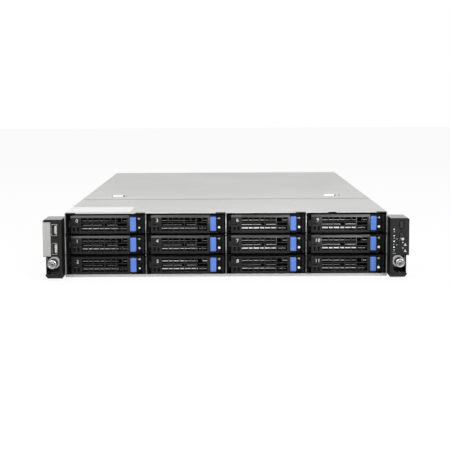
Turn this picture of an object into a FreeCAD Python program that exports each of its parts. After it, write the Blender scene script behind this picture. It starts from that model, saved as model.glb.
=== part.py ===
import FreeCAD, Part
import math
import os
import re
import Sketcher

# A 2U rack server with twelve front drive bays, built in millimetres.
# +X is the server's right seen from the front, +Y runs to the rear, +Z is up.
# The origin is the centre of the underside of the base pan.

doc = FreeCAD.newDocument("rack_server")
dims = doc.addObject("Spreadsheet::Sheet", "dims")

SIZES = (
    # chassis
    ("body_width", 438.0, "chassis between the rack ears"),
    ("body_height", 87.5, "two rack units less the usual clearance"),
    ("body_depth", 780.0, "pan front edge to lid rear lip"),
    ("sheet_thick", 1.0, "galvanised steel sheet"),
    ("seat_gap", 0.3, "clearance between pieces that move apart"),
    ("plate_depth", 192.0, "fixed front top plate"),
    ("seam_gap", 0.8, "front top plate to lid"),
    ("lip_height", 3.5, "folded front lip of the pan"),
    ("flange_width", 5.0, "inward flange under the lid"),
    ("notch_depth", 10.0, "front edge notch of the top plate"),
    ("rail_hole_r", 2.1, "slide rail screw hole"),
    ("rail_hole_drop", 27.5, "slide rail screw hole under the top"),
    ("rail_hole_front", -200.0, "front slide rail screw hole"),
    ("rail_hole_rear", 100.0, "rear slide rail screw hole"),
    ("vent_side", 11.0, "first rear vent from the left wall"),
    ("vent_bar", 7.0, "sheet left between two rear vents"),
    ("lid_lip", 4.0, "rear lip of the lid"),
    ("grip_width", 25.0, "finger grip in the lid"),
    ("grip_length", 33.0, "finger grip in the lid"),
    ("grip_deep", 2.3, "finger grip in the lid"),
    ("grip_in", 52.0, "finger grip middle in from the side"),
    ("grip_y", 262.0, "finger grip behind the front edge"),
    # drive bays
    ("divider_thick", 1.2, "sheet between two columns"),
    ("row_gap", 3.6, "gap between two levers"),
    ("drive_gap", 1.9, "drive top under the next drive"),
    ("cage_depth", 170.0, "dividers, front edge to backplane"),
    ("cage_base", 0.8, "cage floor sheet"),
    ("ledge_width", 2.4, "tray ledge on a divider"),
    ("ledge_thick", 1.2, "tray ledge on a divider"),
    ("ledge_start", 12.0, "tray ledge behind the front edge"),
    ("tab_width", 13.4, "cage tab seen in a notch"),
    ("bump_radius", 2.4, "half round stop between two rows"),
    # drive tray, lever and button
    ("tray_side", 1.5, "tray rail to bay edge"),
    ("drive_length", 147.0, "3.5 inch drive"),
    ("drive_start", 18.0, "drive behind the front plane"),
    ("cover_inset", 4.0, "drive cover inside the casting edge"),
    ("cover_thick", 0.8, "drive cover above the casting"),
    ("rail_thick", 2.2, "tray rail"),
    ("rail_height", 20.0, "tray rail"),
    ("wall_start", 14.0, "tray cross wall behind the front plane"),
    ("wall_thick", 1.6, "tray cross wall"),
    ("lever_left", 7.0, "lever end beside the hinge"),
    ("lever_gap", 0.5, "lever end to button"),
    ("lever_depth", 8.2, "lever, front to back"),
    ("lever_bow", 1.2, "lever ends behind its middle"),
    ("lever_skin", 2.6, "lever front wall from its middle"),
    ("lever_edge", 1.4, "lever top and bottom flange"),
    ("lever_bevel", 2.0, "bevel along the lever top"),
    ("hinge_x", 9.5, "lever hinge from the bay edge"),
    ("hinge_y", 4.6, "lever hinge behind the front plane"),
    ("hinge_pin_r", 1.0, "lever hinge pin"),
    ("hinge_fit", 0.06, "lever bore over the pin"),
    ("lug_height", 1.8, "hinge lug on the tray"),
    ("slot_start", 14.6, "first grille slot from the lever end"),
    ("slot_end", 2.1, "last slot group to the lever end"),
    ("slot_gap", 1.4, "bar between slot groups"),
    ("slot_bar", 1.2, "bar between grille slots"),
    ("slot_low", 2.9, "lowest grille slot above the lever bottom"),
    ("slot_top", 3.7, "highest grille slot under the lever top"),
    ("slot_mid", 3.8, "middle grille slot"),
    ("button_width", 8.2, "release button"),
    ("button_rim", 2.5, "tray rim over and under the button"),
    ("button_depth", 10.0, "release button"),
    ("button_front", 0.3, "release button behind the front plane"),
    ("button_bevel", 1.2, "release button top edge"),
    ("panel_back", 8.5, "light panel behind the front plane"),
    ("panel_width", 7.6, "light panel"),
    ("ridge_width", 3.0, "ridge beside the light panel"),
    ("ridge_gap", 2.5, "ridge to the next bay"),
    ("lens_size", 3.5, "status light lens across its flats"),
    ("lens_z", 6.5, "status light lens above the tray bottom"),
    # cooling
    ("fan_y", 210.0, "fan front behind the front edge"),
    ("fan_room", 7.5, "chassis height left over by a fan"),
    ("fan_side", 48.0, "outer fan to the chassis side"),
    ("throat_wall", 1.7, "fan frame beside its throat"),
    ("fan_tip_gap", 1.1, "blade tip to throat"),
    ("fan_depth", 38.0, "fan frame"),
    ("board_gap", 106.0, "fans to motherboard"),
    ("fan_hub_r", 17.5, "fan hub"),
    ("fan_shaft_r", 2.0, "fan shaft"),
    ("fan_fit", 0.05, "hub bore over the shaft"),
    ("blade_thick", 1.8, "fan blade"),
    ("blade_run", 8.5, "fan blade from its middle, along the shaft"),
    ("blade_rise", 8.0, "fan blade from its middle, across the shaft"),
    # electronics
    ("board_thick", 1.6, "motherboard"),
    ("board_lift", 7.5, "motherboard underside above the base"),
    ("board_side", 6.0, "motherboard to the chassis side"),
    ("sink_size", 92.0, "processor heatsink"),
    ("sink_drop", 14.4, "heatsink top under the chassis top"),
    ("fin_thick", 1.4, "heatsink fin"),
    ("sink_base", 6.0, "processor heatsink base"),
    ("module_length", 133.35, "memory module"),
    ("module_height", 31.25, "memory module"),
    ("module_pitch", 8.2, "memory slots"),
    ("slot_height", 8.0, "memory slot connector"),
    # power supplies
    ("psu_width", 73.5, "power supply"),
    ("psu_length", 255.0, "power supply"),
    ("psu_room", 8.5, "chassis height left over by two supplies"),
    ("psu_side", 0.6, "power supply to the chassis side"),
    ("psu_wall_gap", 0.7, "power supply to its bay wall"),
    ("shelf_gap", 0.5, "power supply to the shelf above it"),
    # rear ports and expansion slots
    ("card_pitch", 20.32, "expansion slots"),
    ("card_side", 130.2, "first card slot from the supply bay"),
    ("card_open_w", 12.4, "expansion slot opening"),
    ("card_cover_w", 18.4, "expansion slot cover"),
    ("port_depth", 14.0, "port shell"),
    ("port_gap", 0.3, "port shell to rear wall"),
    # rack ears
    ("ear_front", 32.5, "ear front ahead of the chassis"),
    ("ear_back", 13.5, "ear flange behind the chassis front"),
    ("ear_low", 3.4, "ear underside"),
    ("ear_drop", 5.2, "ear top under the chassis top"),
    ("ear_reach", 22.3, "ear beyond the chassis side, to 482.6 overall"),
    ("ear_bulge", 2.7, "upper module beyond the ear"),
    ("ear_flange", 2.0, "steel flange behind the moulding"),
    ("ear_bevel", 4.0, "outer top corner of the ear"),
    ("scoop_wall", 3.5, "wall between scoop and chassis"),
    ("scoop_back", -7.0, "back of the thumbscrew scoop"),
    ("scoop_over", 10.7, "scoop ceiling over the thumbscrew middle"),
    ("scoop_under", 13.3, "scoop floor under the thumbscrew middle"),
    ("screw_out", 13.55, "thumbscrew beyond the side, 465.1 between the two"),
    ("screw_r", 3.3, "thumbscrew shank in its ferrule"),
    ("thread_r", 2.95, "M6 thread of the thumbscrew"),
    ("screw_fit", 0.08, "thumbscrew bore"),
    ("knob_r", 6.35, "thumbscrew knob"),
    ("knob_length", 12.0, "thumbscrew knob"),
    ("neck_r", 4.2, "thumbscrew neck"),
    ("screw_reach", 8.0, "shank behind the flange at rest"),
    ("ferrule_r", 6.2, "thumbscrew ferrule"),
    ("ferrule_long", 2.4, "thumbscrew ferrule"),
    ("usb_out", 9.4, "USB receptacles beyond the chassis side"),
    ("usb_high", 13.7, "upper USB receptacle under the ear top"),
    ("usb_low", 10.9, "lower USB receptacle over the scoop ceiling"),
    ("usb_width", 7.4, "USB shell, narrow side"),
    ("usb_tall", 15.2, "USB shell, wide side"),
    ("usb_depth", 18.0, "USB shell"),
    ("usb_wall", 0.5, "USB shell sheet"),
    ("tag_width", 10.4, "pull-out tag face"),
    ("tag_drop", 3.4, "pull-out tag under the ear top"),
    ("tag_face", 2.2, "pull-out tag face"),
    ("tag_blade", 2.4, "pull-out tag blade"),
    ("tag_length", 36.0, "pull-out tag blade"),
    ("key_out", 14.9, "right ear buttons beyond the side"),
    ("power_drop", 8.5, "power button under the ear top"),
    ("ident_drop", 21.9, "locator button under the ear top"),
    ("power_width", 5.0, "power button"),
    ("power_tall", 10.6, "power button"),
    ("ident_r", 2.9, "locator button"),
    ("key_depth", 8.0, "button body"),
    ("key_proud", 0.5, "button ahead of the ear"),
)

for row, (alias, number, note) in enumerate(SIZES, 1):
    dims.set("A%d" % row, note)
    dims.set("B%d" % row, repr(number))
    dims.setAlias("B%d" % row, alias)
doc.recompute()

SIDE = "body_width / 2"
FRONT = "-body_depth / 2"
REAR = "body_depth / 2"
LID_UNDER = "(body_height - sheet_thick)"
REAR_TOP = "(body_height - sheet_thick - grip_deep - seat_gap)"
WALL_TOP = "(body_height - sheet_thick - seat_gap)"
PAN_REAR = "(body_depth / 2 - sheet_thick - seat_gap)"
REAR_FACE = f"({PAN_REAR} - sheet_thick)"
BOARD_TOP = "(board_lift + board_thick)"
INNER = f"({SIDE} - sheet_thick)"
BAY = f"({INNER} / 2)"
ROW = "((body_height - lip_height) / 3)"
TRAY_FLOOR = "(lip_height + seat_gap)"
DRIVE_WIDE = f"({BAY} - 2 * tray_side - 2 * rail_thick)"
DRIVE_HIGH = f"({ROW} - drive_gap)"
LEVER_HIGH = f"({ROW} - row_gap)"
BUTTON_HIGH = f"({LEVER_HIGH} - 2 * button_rim)"
RIDGE_X = f"({BAY} - ridge_gap - ridge_width)"
PANEL_X = f"({RIDGE_X} - panel_width)"
BUTTON_X = f"({PANEL_X} - seat_gap - button_width)"
LEVER_END = f"({BUTTON_X} - lever_gap)"
SLOT_STEP = f"(({LEVER_END} - lever_left - slot_start - slot_end) / 4)"
SLOT_TALL = f"(({LEVER_HIGH} - slot_low - slot_top - slot_mid - 2 * slot_bar) / 2)"
FAN = "(body_height - fan_room)"
FAN_BORE = f"({FAN} / 2 - throat_wall)"
FAN_TIP = f"({FAN_BORE} - fan_tip_gap)"
FAN_STEP = f"({INNER} - {FAN} / 2 - fan_side)"
PSU_HIGH = "((body_height - psu_room) / 2)"
PSU_RIGHT = f"({INNER} - psu_side)"
PSU_WALL = f"({PSU_RIGHT} - psu_width - psu_wall_gap - sheet_thick)"
PSU_SHELF = f"(sheet_thick + seat_gap + {PSU_HIGH} + shelf_gap)"
BOARD_LEFT = f"(board_side - {INNER})"
BOARD_RIGHT = f"({PSU_WALL} - board_side)"
BOARD_FRONT = f"({FRONT} + fan_y + fan_depth + board_gap)"
BOARD_REAR = f"({REAR} - 5)"
BOARD_MID = f"(({BOARD_LEFT} + {BOARD_RIGHT}) / 2)"
CPU_Y = f"({BOARD_FRONT} + 80)"
CARD_X = f"({PSU_WALL} - card_side)"
EAR_TOP = "(body_height - ear_drop)"
EAR_OUT = f"({SIDE} + ear_reach)"
SCREW_Z = "(body_height / 4)"
EAR_STEP = f"({SCREW_Z} + scoop_over)"
SCOOP_LOW = f"({SCREW_Z} - scoop_under)"
USB_HIGH = f"({EAR_TOP} - usb_high)"
USB_LOW = f"({EAR_STEP} + usb_low)"
TAG_LOW = f"({EAR_STEP} + 0.4)"
EAR_WIDE = f"({EAR_OUT} + ear_bulge)"
SCREW_X = f"({SIDE} + screw_out)"
USB_X = f"({SIDE} + usb_out)"
TAG_TOP = f"({EAR_TOP} - tag_drop)"
KEY_X = f"({SIDE} + key_out)"
POWER_Z = f"({EAR_TOP} - power_drop)"
IDENT_Z = f"({EAR_TOP} - ident_drop)"
NODES = []


# ---------------------------------------------------------------- helpers

def bound(text):
    """Point every size name in an expression at the spreadsheet."""
    return re.sub(r"\b([a-z]+(?:_[a-z0-9]+)+)\b", r"dims.\1", str(text))


def value(text):
    """The present value of an expression in millimetres."""
    return float(dims.evalExpression(bound(text)))


def tie(thing, **links):
    """Bind properties, with __ for each dot in a property path."""
    for path, text in links.items():
        thing.setExpression(path.replace("__", "."), bound(text))
    return thing


def rect(x0, x1, y0, y1):
    return [(x0, y0), (x1, y0), (x1, y1), (x0, y1)]


def disc(x, y, radius):
    return ("disc", x, y, radius)


def ring(x, y, radius, count):
    """Corners of a regular polygon, drawn where a round face isn't needed."""
    points = []
    for n in range(count):
        turn = math.radians(360 * (n + 0.5) / count)
        points.append((f"{x} + {math.cos(turn):.6f} * ({radius})",
                       f"{y} + {math.sin(turn):.6f} * ({radius})"))
    return points


def draw(sketch, loops):
    """Draw loops in a sketch, each corner and circle held by the sizes."""
    shapes, rules, ties = [], [], []
    for loop in loops:
        first = len(shapes)
        if loop[0] == "disc":
            at = FreeCAD.Vector(value(loop[1]), value(loop[2]), 0)
            shapes.append(Part.Circle(at, FreeCAD.Vector(0, 0, 1), value(loop[3])))
            corners = [(first, 3, loop[1], loop[2])]
            ties.append((len(rules), loop[3]))
            rules.append(Sketcher.Constraint("Radius", first, value(loop[3])))
        else:
            points = [FreeCAD.Vector(value(x), value(y), 0) for x, y in loop]
            count = len(points)
            for n in range(count):
                shapes.append(Part.LineSegment(points[n], points[(n + 1) % count]))
                after = first + (n + 1) % count
                rules.append(Sketcher.Constraint("Coincident", first + n, 2, after, 1))
            corners = [(first + n, 1, x, y) for n, (x, y) in enumerate(loop)]
        for line, end, x, y in corners:
            for kind, text in (("DistanceX", x), ("DistanceY", y)):
                ties.append((len(rules), text))
                rules.append(Sketcher.Constraint(kind, -1, 1, line, end, value(text)))
    sketch.addGeometry(shapes, False)
    sketch.addConstraint(rules)
    for index, text in ties:
        sketch.setExpression("Constraints[%d]" % index, bound(text))


def sketch_on(part, plane, start, loops):
    """A sketch on one of the body's own planes, moved along its normal."""
    sketch = part.newObject("Sketcher::SketchObject", part.Name + "_sketch")
    planes = part.Origin.OriginFeatures
    sketch.AttachmentSupport = [(p, "") for p in planes if p.Role == plane + "_Plane"]
    sketch.MapMode = "FlatFace"
    sign = "-1" if plane == "XZ" else "1"
    tie(sketch, AttachmentOffset__Base__z=f"{sign} * ({start})")
    draw(sketch, loops)
    return sketch


def pad(part, plane, start, depth, loops):
    """Add material from start, depth millimetres along the plane's axis."""
    feature = part.newObject("PartDesign::Pad", part.Name + "_pad")
    feature.Profile = sketch_on(part, plane, start, loops)
    feature.Reversed = plane == "XZ"
    return tie(feature, Length=depth)


def cut(part, plane, start, depth, loops):
    """Take material away from start, depth millimetres along the axis."""
    feature = part.newObject("PartDesign::Pocket", part.Name + "_cut")
    feature.Profile = sketch_on(part, plane, start, loops)
    feature.Reversed = plane != "XZ"
    return tie(feature, Length=depth)


def bevel(part, size, wanted):
    """Chamfer the edges whose middle passes the test."""
    doc.recompute()
    base = part.Tip
    edges = enumerate(base.Shape.Edges, 1)
    names = ["Edge%d" % n for n, edge in edges if wanted(edge.CenterOfMass, edge)]
    feature = part.newObject("PartDesign::Chamfer", part.Name + "_bevel")
    feature.Base = (base, names)
    return tie(feature, Size=size)


def repeat(part, feature, axis, step, count):
    """Repeat a feature along the horizontal or vertical axis of its sketch."""
    pattern = part.newObject("PartDesign::LinearPattern", part.Name + "_row")
    pattern.Originals = [feature]
    pattern.Direction = (feature.Profile[0], [axis])
    pattern.Occurrences = count
    tie(pattern, Length=f"({step}) * {count - 1}")
    part.Tip = pattern
    return pattern


def new_body(name):
    return doc.addObject("PartDesign::Body", name)


def block(name, x0, x1, y0, y1, z0, z1):
    box = doc.addObject("Part::Box", name)
    tie(box, Length=f"({x1}) - ({x0})", Width=f"({y1}) - ({y0})")
    tie(box, Height=f"({z1}) - ({z0})")
    return place(box, x0, y0, z0)


def place(thing, x, y, z):
    return tie(thing, Placement__Base__x=x, Placement__Base__y=y, Placement__Base__z=z)


def copy(name, master, x="0", y="0", z="0"):
    link = doc.addObject("App::Link", name)
    link.LinkedObject = master
    return place(link, x, y, z)


def group(name, parts):
    pack = doc.addObject("Part::Compound", name)
    pack.Links = parts
    return pack


def node(name, thing):
    """Hand a sub-part in under its name."""
    thing.Label = name
    NODES.append(thing)
    return thing


# ---------------------------------------------------------------- chassis

PORTS = (
    # name, middle from the left wall, width, height
    ("usb_stack", 15.0, 14.6, 16.4),
    ("lan_a", 37.0, 16.2, 13.6),
    ("lan_b", 56.0, 16.2, 13.6),
    ("lan_c", 75.0, 16.2, 13.6),
    ("video", 106.0, 31.0, 12.6),
    ("serial", 144.0, 31.0, 12.6),
)
CARD_COUNT = 6
VENT_COUNT = 8
DIVIDERS = [f"{n} * {BAY}" for n in (-1, 0, 1)]


def chassis_pan():
    pan = new_body("chassis_pan")
    profile = [(f"-{SIDE}", "0"), (SIDE, "0"), (SIDE, WALL_TOP), (INNER, WALL_TOP),
               (INNER, "sheet_thick"), (f"-{INNER}", "sheet_thick"),
               (f"-{INNER}", WALL_TOP), (f"-{SIDE}", WALL_TOP)]
    pad(pan, "XZ", FRONT, f"{PAN_REAR} + body_depth / 2", [profile])
    pad(pan, "XY", "sheet_thick", "lip_height - sheet_thick",
        [rect(f"-{INNER}", INNER, FRONT, f"{FRONT} + sheet_thick")])
    flange_y = f"{FRONT} + plate_depth + 2"
    pad(pan, "XY", f"{WALL_TOP} - sheet_thick", "sheet_thick",
        [rect(f"-{INNER}", f"-{INNER} + flange_width", flange_y, REAR_FACE),
         rect(f"{INNER} - flange_width", INNER, flange_y, REAR_FACE)])
    holes = [disc(y, "body_height - rail_hole_drop", "rail_hole_r")
             for y in ("rail_hole_front", "rail_hole_rear")]
    cut(pan, "YZ", f"-{SIDE} - 1", "sheet_thick + 2", holes)
    cut(pan, "YZ", f"{INNER} - 1", "sheet_thick + 2", holes)
    node("chassis_pan", pan)


def rear_panel():
    """Rear wall with its openings, and the wall and shelf of the supply bay."""
    panel = new_body("rear_panel")
    left, shelf_top = f"({PSU_WALL} + sheet_thick + 0.2)", f"({PSU_SHELF} + sheet_thick)"
    low_top = f"({PSU_SHELF} - seat_gap)"
    high_top = f"({shelf_top} + {PSU_HIGH} + 2 * seat_gap)"
    wall = [[(f"-{INNER}", "sheet_thick"), (left, "sheet_thick"), (left, low_top),
             (INNER, low_top), (INNER, shelf_top), (left, shelf_top), (left, high_top),
             (INNER, high_top), (INNER, REAR_TOP), (f"-{INNER}", REAR_TOP)]]
    for port in PORTS:
        at, wide, high = port[1:]
        x = f"({at} - {INNER})"
        wall.append(rect(f"{x} - {wide / 2} - port_gap", f"{x} + {wide / 2} + port_gap",
                         f"{BOARD_TOP} - port_gap", f"{BOARD_TOP} + {high} + port_gap"))
    for n in range(CARD_COUNT):
        x = f"{CARD_X} + {n} * card_pitch"
        wall.append(rect(f"{x} - card_open_w / 2", f"{x} + card_open_w / 2",
                         "13", "body_height - 8.5"))
    step = f"(({CARD_X} - card_cover_w / 2 + {INNER} - vent_side) / {VENT_COUNT})"
    for n in range(VENT_COUNT):
        x = f"(vent_side + {n} * {step} - {INNER})"
        wall.append(rect(x, f"{x} + {step} - vent_bar", "body_height / 2 + 4",
                         "body_height - 9.5"))
    pad(panel, "XZ", REAR_FACE, "sheet_thick", wall)
    bay_front = f"({PAN_REAR} - psu_length - 20)"
    pad(panel, "XY", "sheet_thick", f"{REAR_TOP} - sheet_thick",
        [rect(PSU_WALL, f"{PSU_WALL} + sheet_thick", bay_front, REAR_FACE)])
    pad(panel, "XY", PSU_SHELF, "sheet_thick",
        [rect(f"{PSU_WALL} + sheet_thick", INNER, bay_front, REAR_FACE)])
    node("rear_panel", panel)


def front_top_plate():
    plate = new_body("front_top_plate")
    pad(plate, "XY", LID_UNDER, "sheet_thick",
        [rect(f"-{SIDE}", SIDE, FRONT, f"{FRONT} + plate_depth")])
    notch = (f"{FRONT} - 1", f"{FRONT} + notch_depth")
    spots = [(f"-{INNER}", f"-{INNER} + tab_width"), (f"{INNER} - tab_width", INNER),
             (f"{BAY} + 30", f"{BAY} + 41")]
    for x in DIVIDERS:
        spots.append((f"{x} - divider_thick / 2 - tab_width", f"{x} - divider_thick / 2"))
    cut(plate, "XY", f"{LID_UNDER} - 1", "sheet_thick + 2",
        [rect(low, high, *notch) for low, high in spots])
    node("front_top_plate", plate)


def rear_lid():
    lid = new_body("rear_lid")
    pad(lid, "XY", LID_UNDER, "sheet_thick",
        [rect(f"-{SIDE}", SIDE, f"{FRONT} + plate_depth + seam_gap", REAR)])
    pad(lid, "XY", f"{LID_UNDER} - lid_lip", "lid_lip",
        [rect(f"-{INNER}", INNER, f"{REAR} - sheet_thick", REAR)])
    hollow, outside = [], []
    for side in ("-1", "1"):
        half, reach = "grip_width / 2", "grip_length / 2"
        x, y = f"{side} * ({SIDE} - grip_in)", f"{FRONT} + grip_y"
        hollow.append(rect(f"{x} - {half}", f"{x} + {half}", f"{y} - {reach}", f"{y} + {reach}"))
        wall = "sheet_thick"
        outside.append(rect(f"{x} - {half} - {wall}", f"{x} + {half} + {wall}",
                            f"{y} - {reach} - {wall}", f"{y} + {reach} + {wall}"))
    pad(lid, "XY", f"{LID_UNDER} - grip_deep", "grip_deep", outside)
    cut(lid, "XY", f"{LID_UNDER} - grip_deep + sheet_thick", "grip_deep + 1", hollow)
    node("rear_lid", lid)


def cage_sheet(x, thick_left, thick_right, tab):
    """One upright sheet with its tray ledges, top tab and row stops."""
    sheet = new_body("cage_sheet")
    start = f"({FRONT} + sheet_thick)"
    left, right = f"({x} - {thick_left})", f"({x} + {thick_right})"
    pad(sheet, "XZ", start, "cage_depth - sheet_thick",
        [rect(left, right, "sheet_thick + cage_base", LID_UNDER)])
    ledges = []
    for row in range(3):
        top = f"{TRAY_FLOOR} + {row} * {ROW} - seat_gap"
        if thick_left != "0":
            ledges.append(rect(f"{left} - ledge_width", left, f"{top} - ledge_thick", top))
        if thick_right != "0":
            ledges.append(rect(right, f"{right} + ledge_width", f"{top} - ledge_thick", top))
    pad(sheet, "XZ", f"{FRONT} + ledge_start", "cage_depth - ledge_start", ledges)
    pad(sheet, "XY", f"{LID_UNDER} - seat_gap", "sheet_thick",
        [rect(tab[0], tab[1], f"{FRONT} + 2", f"{FRONT} + notch_depth - 0.4")])
    bumps = []
    for row in (1, 2):
        z = f"{TRAY_FLOOR} + {row} * {ROW} - ({ROW} - {LEVER_HIGH}) / 2"
        far, near = f"({start} - bump_radius * 0.6)", f"({start} - bump_radius)"
        bumps.append([(start, f"{z} - bump_radius"), (far, f"{z} - bump_radius * 0.85"),
                      (near, f"{z} - bump_radius * 0.4"), (near, f"{z} + bump_radius * 0.4"),
                      (far, f"{z} + bump_radius * 0.85"), (start, f"{z} + bump_radius")])
    pad(sheet, "YZ", left, f"{thick_left} + {thick_right}", bumps)
    return sheet


def drive_cage():
    base = new_body("cage_base")
    half = "divider_thick / 2"
    pad(base, "XY", "sheet_thick", "cage_base",
        [rect(f"-{INNER}", INNER, f"{FRONT} + sheet_thick", f"{FRONT} + cage_depth")])
    sheets = [base]
    sheets.append(cage_sheet(f"-{INNER}", "0", half,
                             (f"-{INNER} + {half}", f"-{INNER} + tab_width")))
    for x in DIVIDERS:
        tab = (f"{x} - {half} - tab_width", f"{x} - {half}")
        sheets.append(cage_sheet(x, half, half, tab))
    sheets.append(cage_sheet(INNER, half, "0", (f"{INNER} - tab_width", f"{INNER} - {half}")))
    node("drive_cage", group("drive_cage", sheets))


def backplane():
    board = new_body("backplane_board")
    face = f"({FRONT} + cage_depth)"
    loops = [rect(f"-{SIDE} + 5", f"{SIDE} - 5", "2.2", "body_height - 2.5")]
    sockets = []
    for column in range(4):
        for row in range(3):
            x = f"{column - 2} * {BAY}"
            z = f"{TRAY_FLOOR} + {row} * {ROW}"
            loops.append(rect(f"{x} + 28", f"{x} + 92", f"{z} + 11.5", f"{z} + {ROW} - 6"))
            sockets.append(block("drive_socket", f"{x} + 20", f"{x} + 62", f"{face} - 4.4", face,
                                 f"{z} + 3", f"{z} + 8"))
    pad(board, "XZ", face, "board_thick", loops)
    node("backplane", group("backplane", [board] + sockets))


# ---------------------------------------------------------------- drive trays

def tray_carrier():
    carrier = new_body("tray_carrier")
    left, right = "tray_side", f"(tray_side + 2 * rail_thick + {DRIVE_WIDE})"
    window = rect("16", f"{BUTTON_X} - 3.4", "3.5", f"{LEVER_HIGH} - 3.4")
    pad(carrier, "XZ", "wall_start", "wall_thick",
        [rect(left, right, "0", LEVER_HIGH), window])
    run = ("wall_start", "drive_start + drive_length - 2")
    pad(carrier, "XY", "0", "rail_height",
        [rect(left, f"{left} + rail_thick", *run), rect(f"{right} - rail_thick", right, *run)])
    ridge_end = f"({RIDGE_X} + ridge_width)"
    panel = [(PANEL_X, "wall_start"), (PANEL_X, "panel_back"),
             (RIDGE_X, "panel_back"), (RIDGE_X, "button_front + 0.4"),
             (ridge_end, "button_front + 0.4"), (ridge_end, "wall_start")]
    pad(carrier, "XY", "0", LEVER_HIGH, [panel])
    shelf = rect(BUTTON_X, PANEL_X, "1.6", "wall_start")
    rim = f"(({LEVER_HIGH} - {BUTTON_HIGH}) / 2 - seat_gap)"
    pad(carrier, "XY", "0", rim, [shelf])
    pad(carrier, "XY", f"{LEVER_HIGH} - {rim}", rim, [shelf])
    lug = rect("hinge_x - 1.3", "hinge_x + 1.3", "hinge_y - 1.3", "wall_start")
    pad(carrier, "XY", "0", "lug_height", [lug])
    pad(carrier, "XY", f"{LEVER_HIGH} - lug_height", "lug_height", [lug])
    pad(carrier, "XY", "lug_height", f"{LEVER_HIGH} - 2 * lug_height",
        [ring("hinge_x", "hinge_y", "hinge_pin_r", 8)])
    cut(carrier, "XZ", "panel_back", "wall_start + wall_thick - panel_back",
        [lens_outline(), pipe_outline()])
    return carrier


def lens_outline():
    middle, half = f"(({PANEL_X} + {RIDGE_X}) / 2)", "lens_size / 2"
    return rect(f"{middle} - {half}", f"{middle} + {half}", f"lens_z - {half}", f"lens_z + {half}")


def pipe_outline():
    return rect(f"{PANEL_X} + 2.6", f"{PANEL_X} + 4.4", "17.6", "20.4")


def tray_lenses():
    lens = new_body("status_lens")
    pad(lens, "XZ", "panel_back - 0.6", "wall_start - panel_back + 1", [lens_outline()])
    pipe = new_body("light_pipe")
    pad(pipe, "XZ", "panel_back - 0.4", "wall_start - panel_back + 0.8", [pipe_outline()])
    return [lens, pipe]


def tray_drive():
    drive = new_body("tray_drive")
    x0, x1 = "(tray_side + rail_thick)", f"(tray_side + rail_thick + {DRIVE_WIDE})"
    y0, y1 = "drive_start", "(drive_start + drive_length)"
    base = f"({DRIVE_HIGH} - cover_thick)"
    pad(drive, "XY", "0.2", f"{base} - 0.2", [rect(x0, x1, y0, y1)])
    pad(drive, "XY", base, "cover_thick",
        [rect(f"{x0} + cover_inset", f"{x1} - cover_inset",
              f"{y0} + cover_inset", f"{y1} - cover_inset - 8")])
    cut(drive, "XY", "0", "3.4", [rect("19", "63", f"{y1} - 5", f"{y1} + 1")])
    return drive


def tray_lever():
    lever = new_body("tray_lever_master")
    knuckle = "(hinge_x + 3)"
    first = "(lever_left + slot_start)"
    plan = [("lever_left", "lever_bow"), (f"{first} - slot_gap / 2", "0"),
            (f"{first} + 3 * {SLOT_STEP} - slot_gap / 2", "0"),
            (LEVER_END, "lever_bow"), (LEVER_END, "lever_depth"),
            ("lever_left + 1.5", "lever_depth"), ("lever_left", "lever_depth - 1.5")]
    pad(lever, "XY", "0", LEVER_HIGH, [plan])
    cut(lever, "XZ", "lever_skin", "lever_depth",
        [rect(f"{knuckle} + 1", f"{LEVER_END} - lever_edge",
              "lever_edge", f"{LEVER_HIGH} - lever_edge")])
    side = rect("lever_left - 1", knuckle, "lever_skin", "lever_depth + 1")
    clear = "(lug_height + seat_gap)"
    cut(lever, "XY", "0", clear, [side])
    cut(lever, "XY", f"{LEVER_HIGH} - {clear}", clear, [side])
    front = value("lever_bow") + 0.1
    top = value(LEVER_HIGH) - 0.01
    bevel(lever, "lever_bevel", lambda at, edge: at.z > top and at.y < front and edge.Length > 5)
    wide = f"{SLOT_STEP} - slot_gap"
    mid = f"slot_low + {SLOT_TALL} + slot_bar"
    rows = [rect(first, f"{first} + {wide}", z, f"{z} + {tall}")
            for z, tall in (("slot_low", SLOT_TALL), (mid, "slot_mid"),
                            (f"{mid} + slot_mid + slot_bar", SLOT_TALL))]
    slots = cut(lever, "XZ", "-1", "lever_skin + 1.5", rows)
    repeat(lever, slots, "H_Axis", SLOT_STEP, 4)
    cut(lever, "XY", "0", LEVER_HIGH, [disc("hinge_x", "hinge_y", "hinge_pin_r + hinge_fit")])
    pad(lever, "XY", "8", "8",
        [rect("lever_left - 3.4", "lever_left + 0.2", "hinge_y + 0.4", "hinge_y + 2")])
    pad(lever, "XY", "9", "6.4",
        [rect(f"{LEVER_END} - 2.9", f"{LEVER_END} - 0.5", "lever_depth", "lever_depth + 2.4")])
    return lever


def tray_button():
    button = new_body("tray_button_master")
    low = f"({LEVER_HIGH} - {BUTTON_HIGH}) / 2"
    right = f"({BUTTON_X} + button_width)"
    back = "(button_front + button_depth)"
    pad(button, "XY", low, BUTTON_HIGH,
        [rect(BUTTON_X, right, "button_front", back)])
    cut(button, "XY", f"{LEVER_HIGH} / 2 - 4", "8",
        [rect(f"{BUTTON_X} - 1", f"{BUTTON_X} + 2", f"{back} - 2.6", f"{back} + 1")])
    top = value(f"({LEVER_HIGH} + {BUTTON_HIGH}) / 2") - 0.01
    front = value("button_front") + 0.01
    bevel(button, "button_bevel", lambda at, edge: at.z > top and at.y < front)
    return button


def drive_trays():
    tray = group("tray_master", [tray_carrier(), tray_drive()] + tray_lenses())
    lever, button = tray_lever(), tray_button()
    for column in range(4):
        for row in range(3):
            x = f"{column - 2} * {BAY}"
            z = f"{TRAY_FLOOR} + {row} * {ROW}"
            number = "_%02d" % (3 * column + 2 - row)
            for name, master in (("drive_tray", tray), ("tray_lever", lever),
                                 ("tray_button", button)):
                node(name + number, copy(name + number, master, x, FRONT, z))


# ---------------------------------------------------------------- cooling

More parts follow.
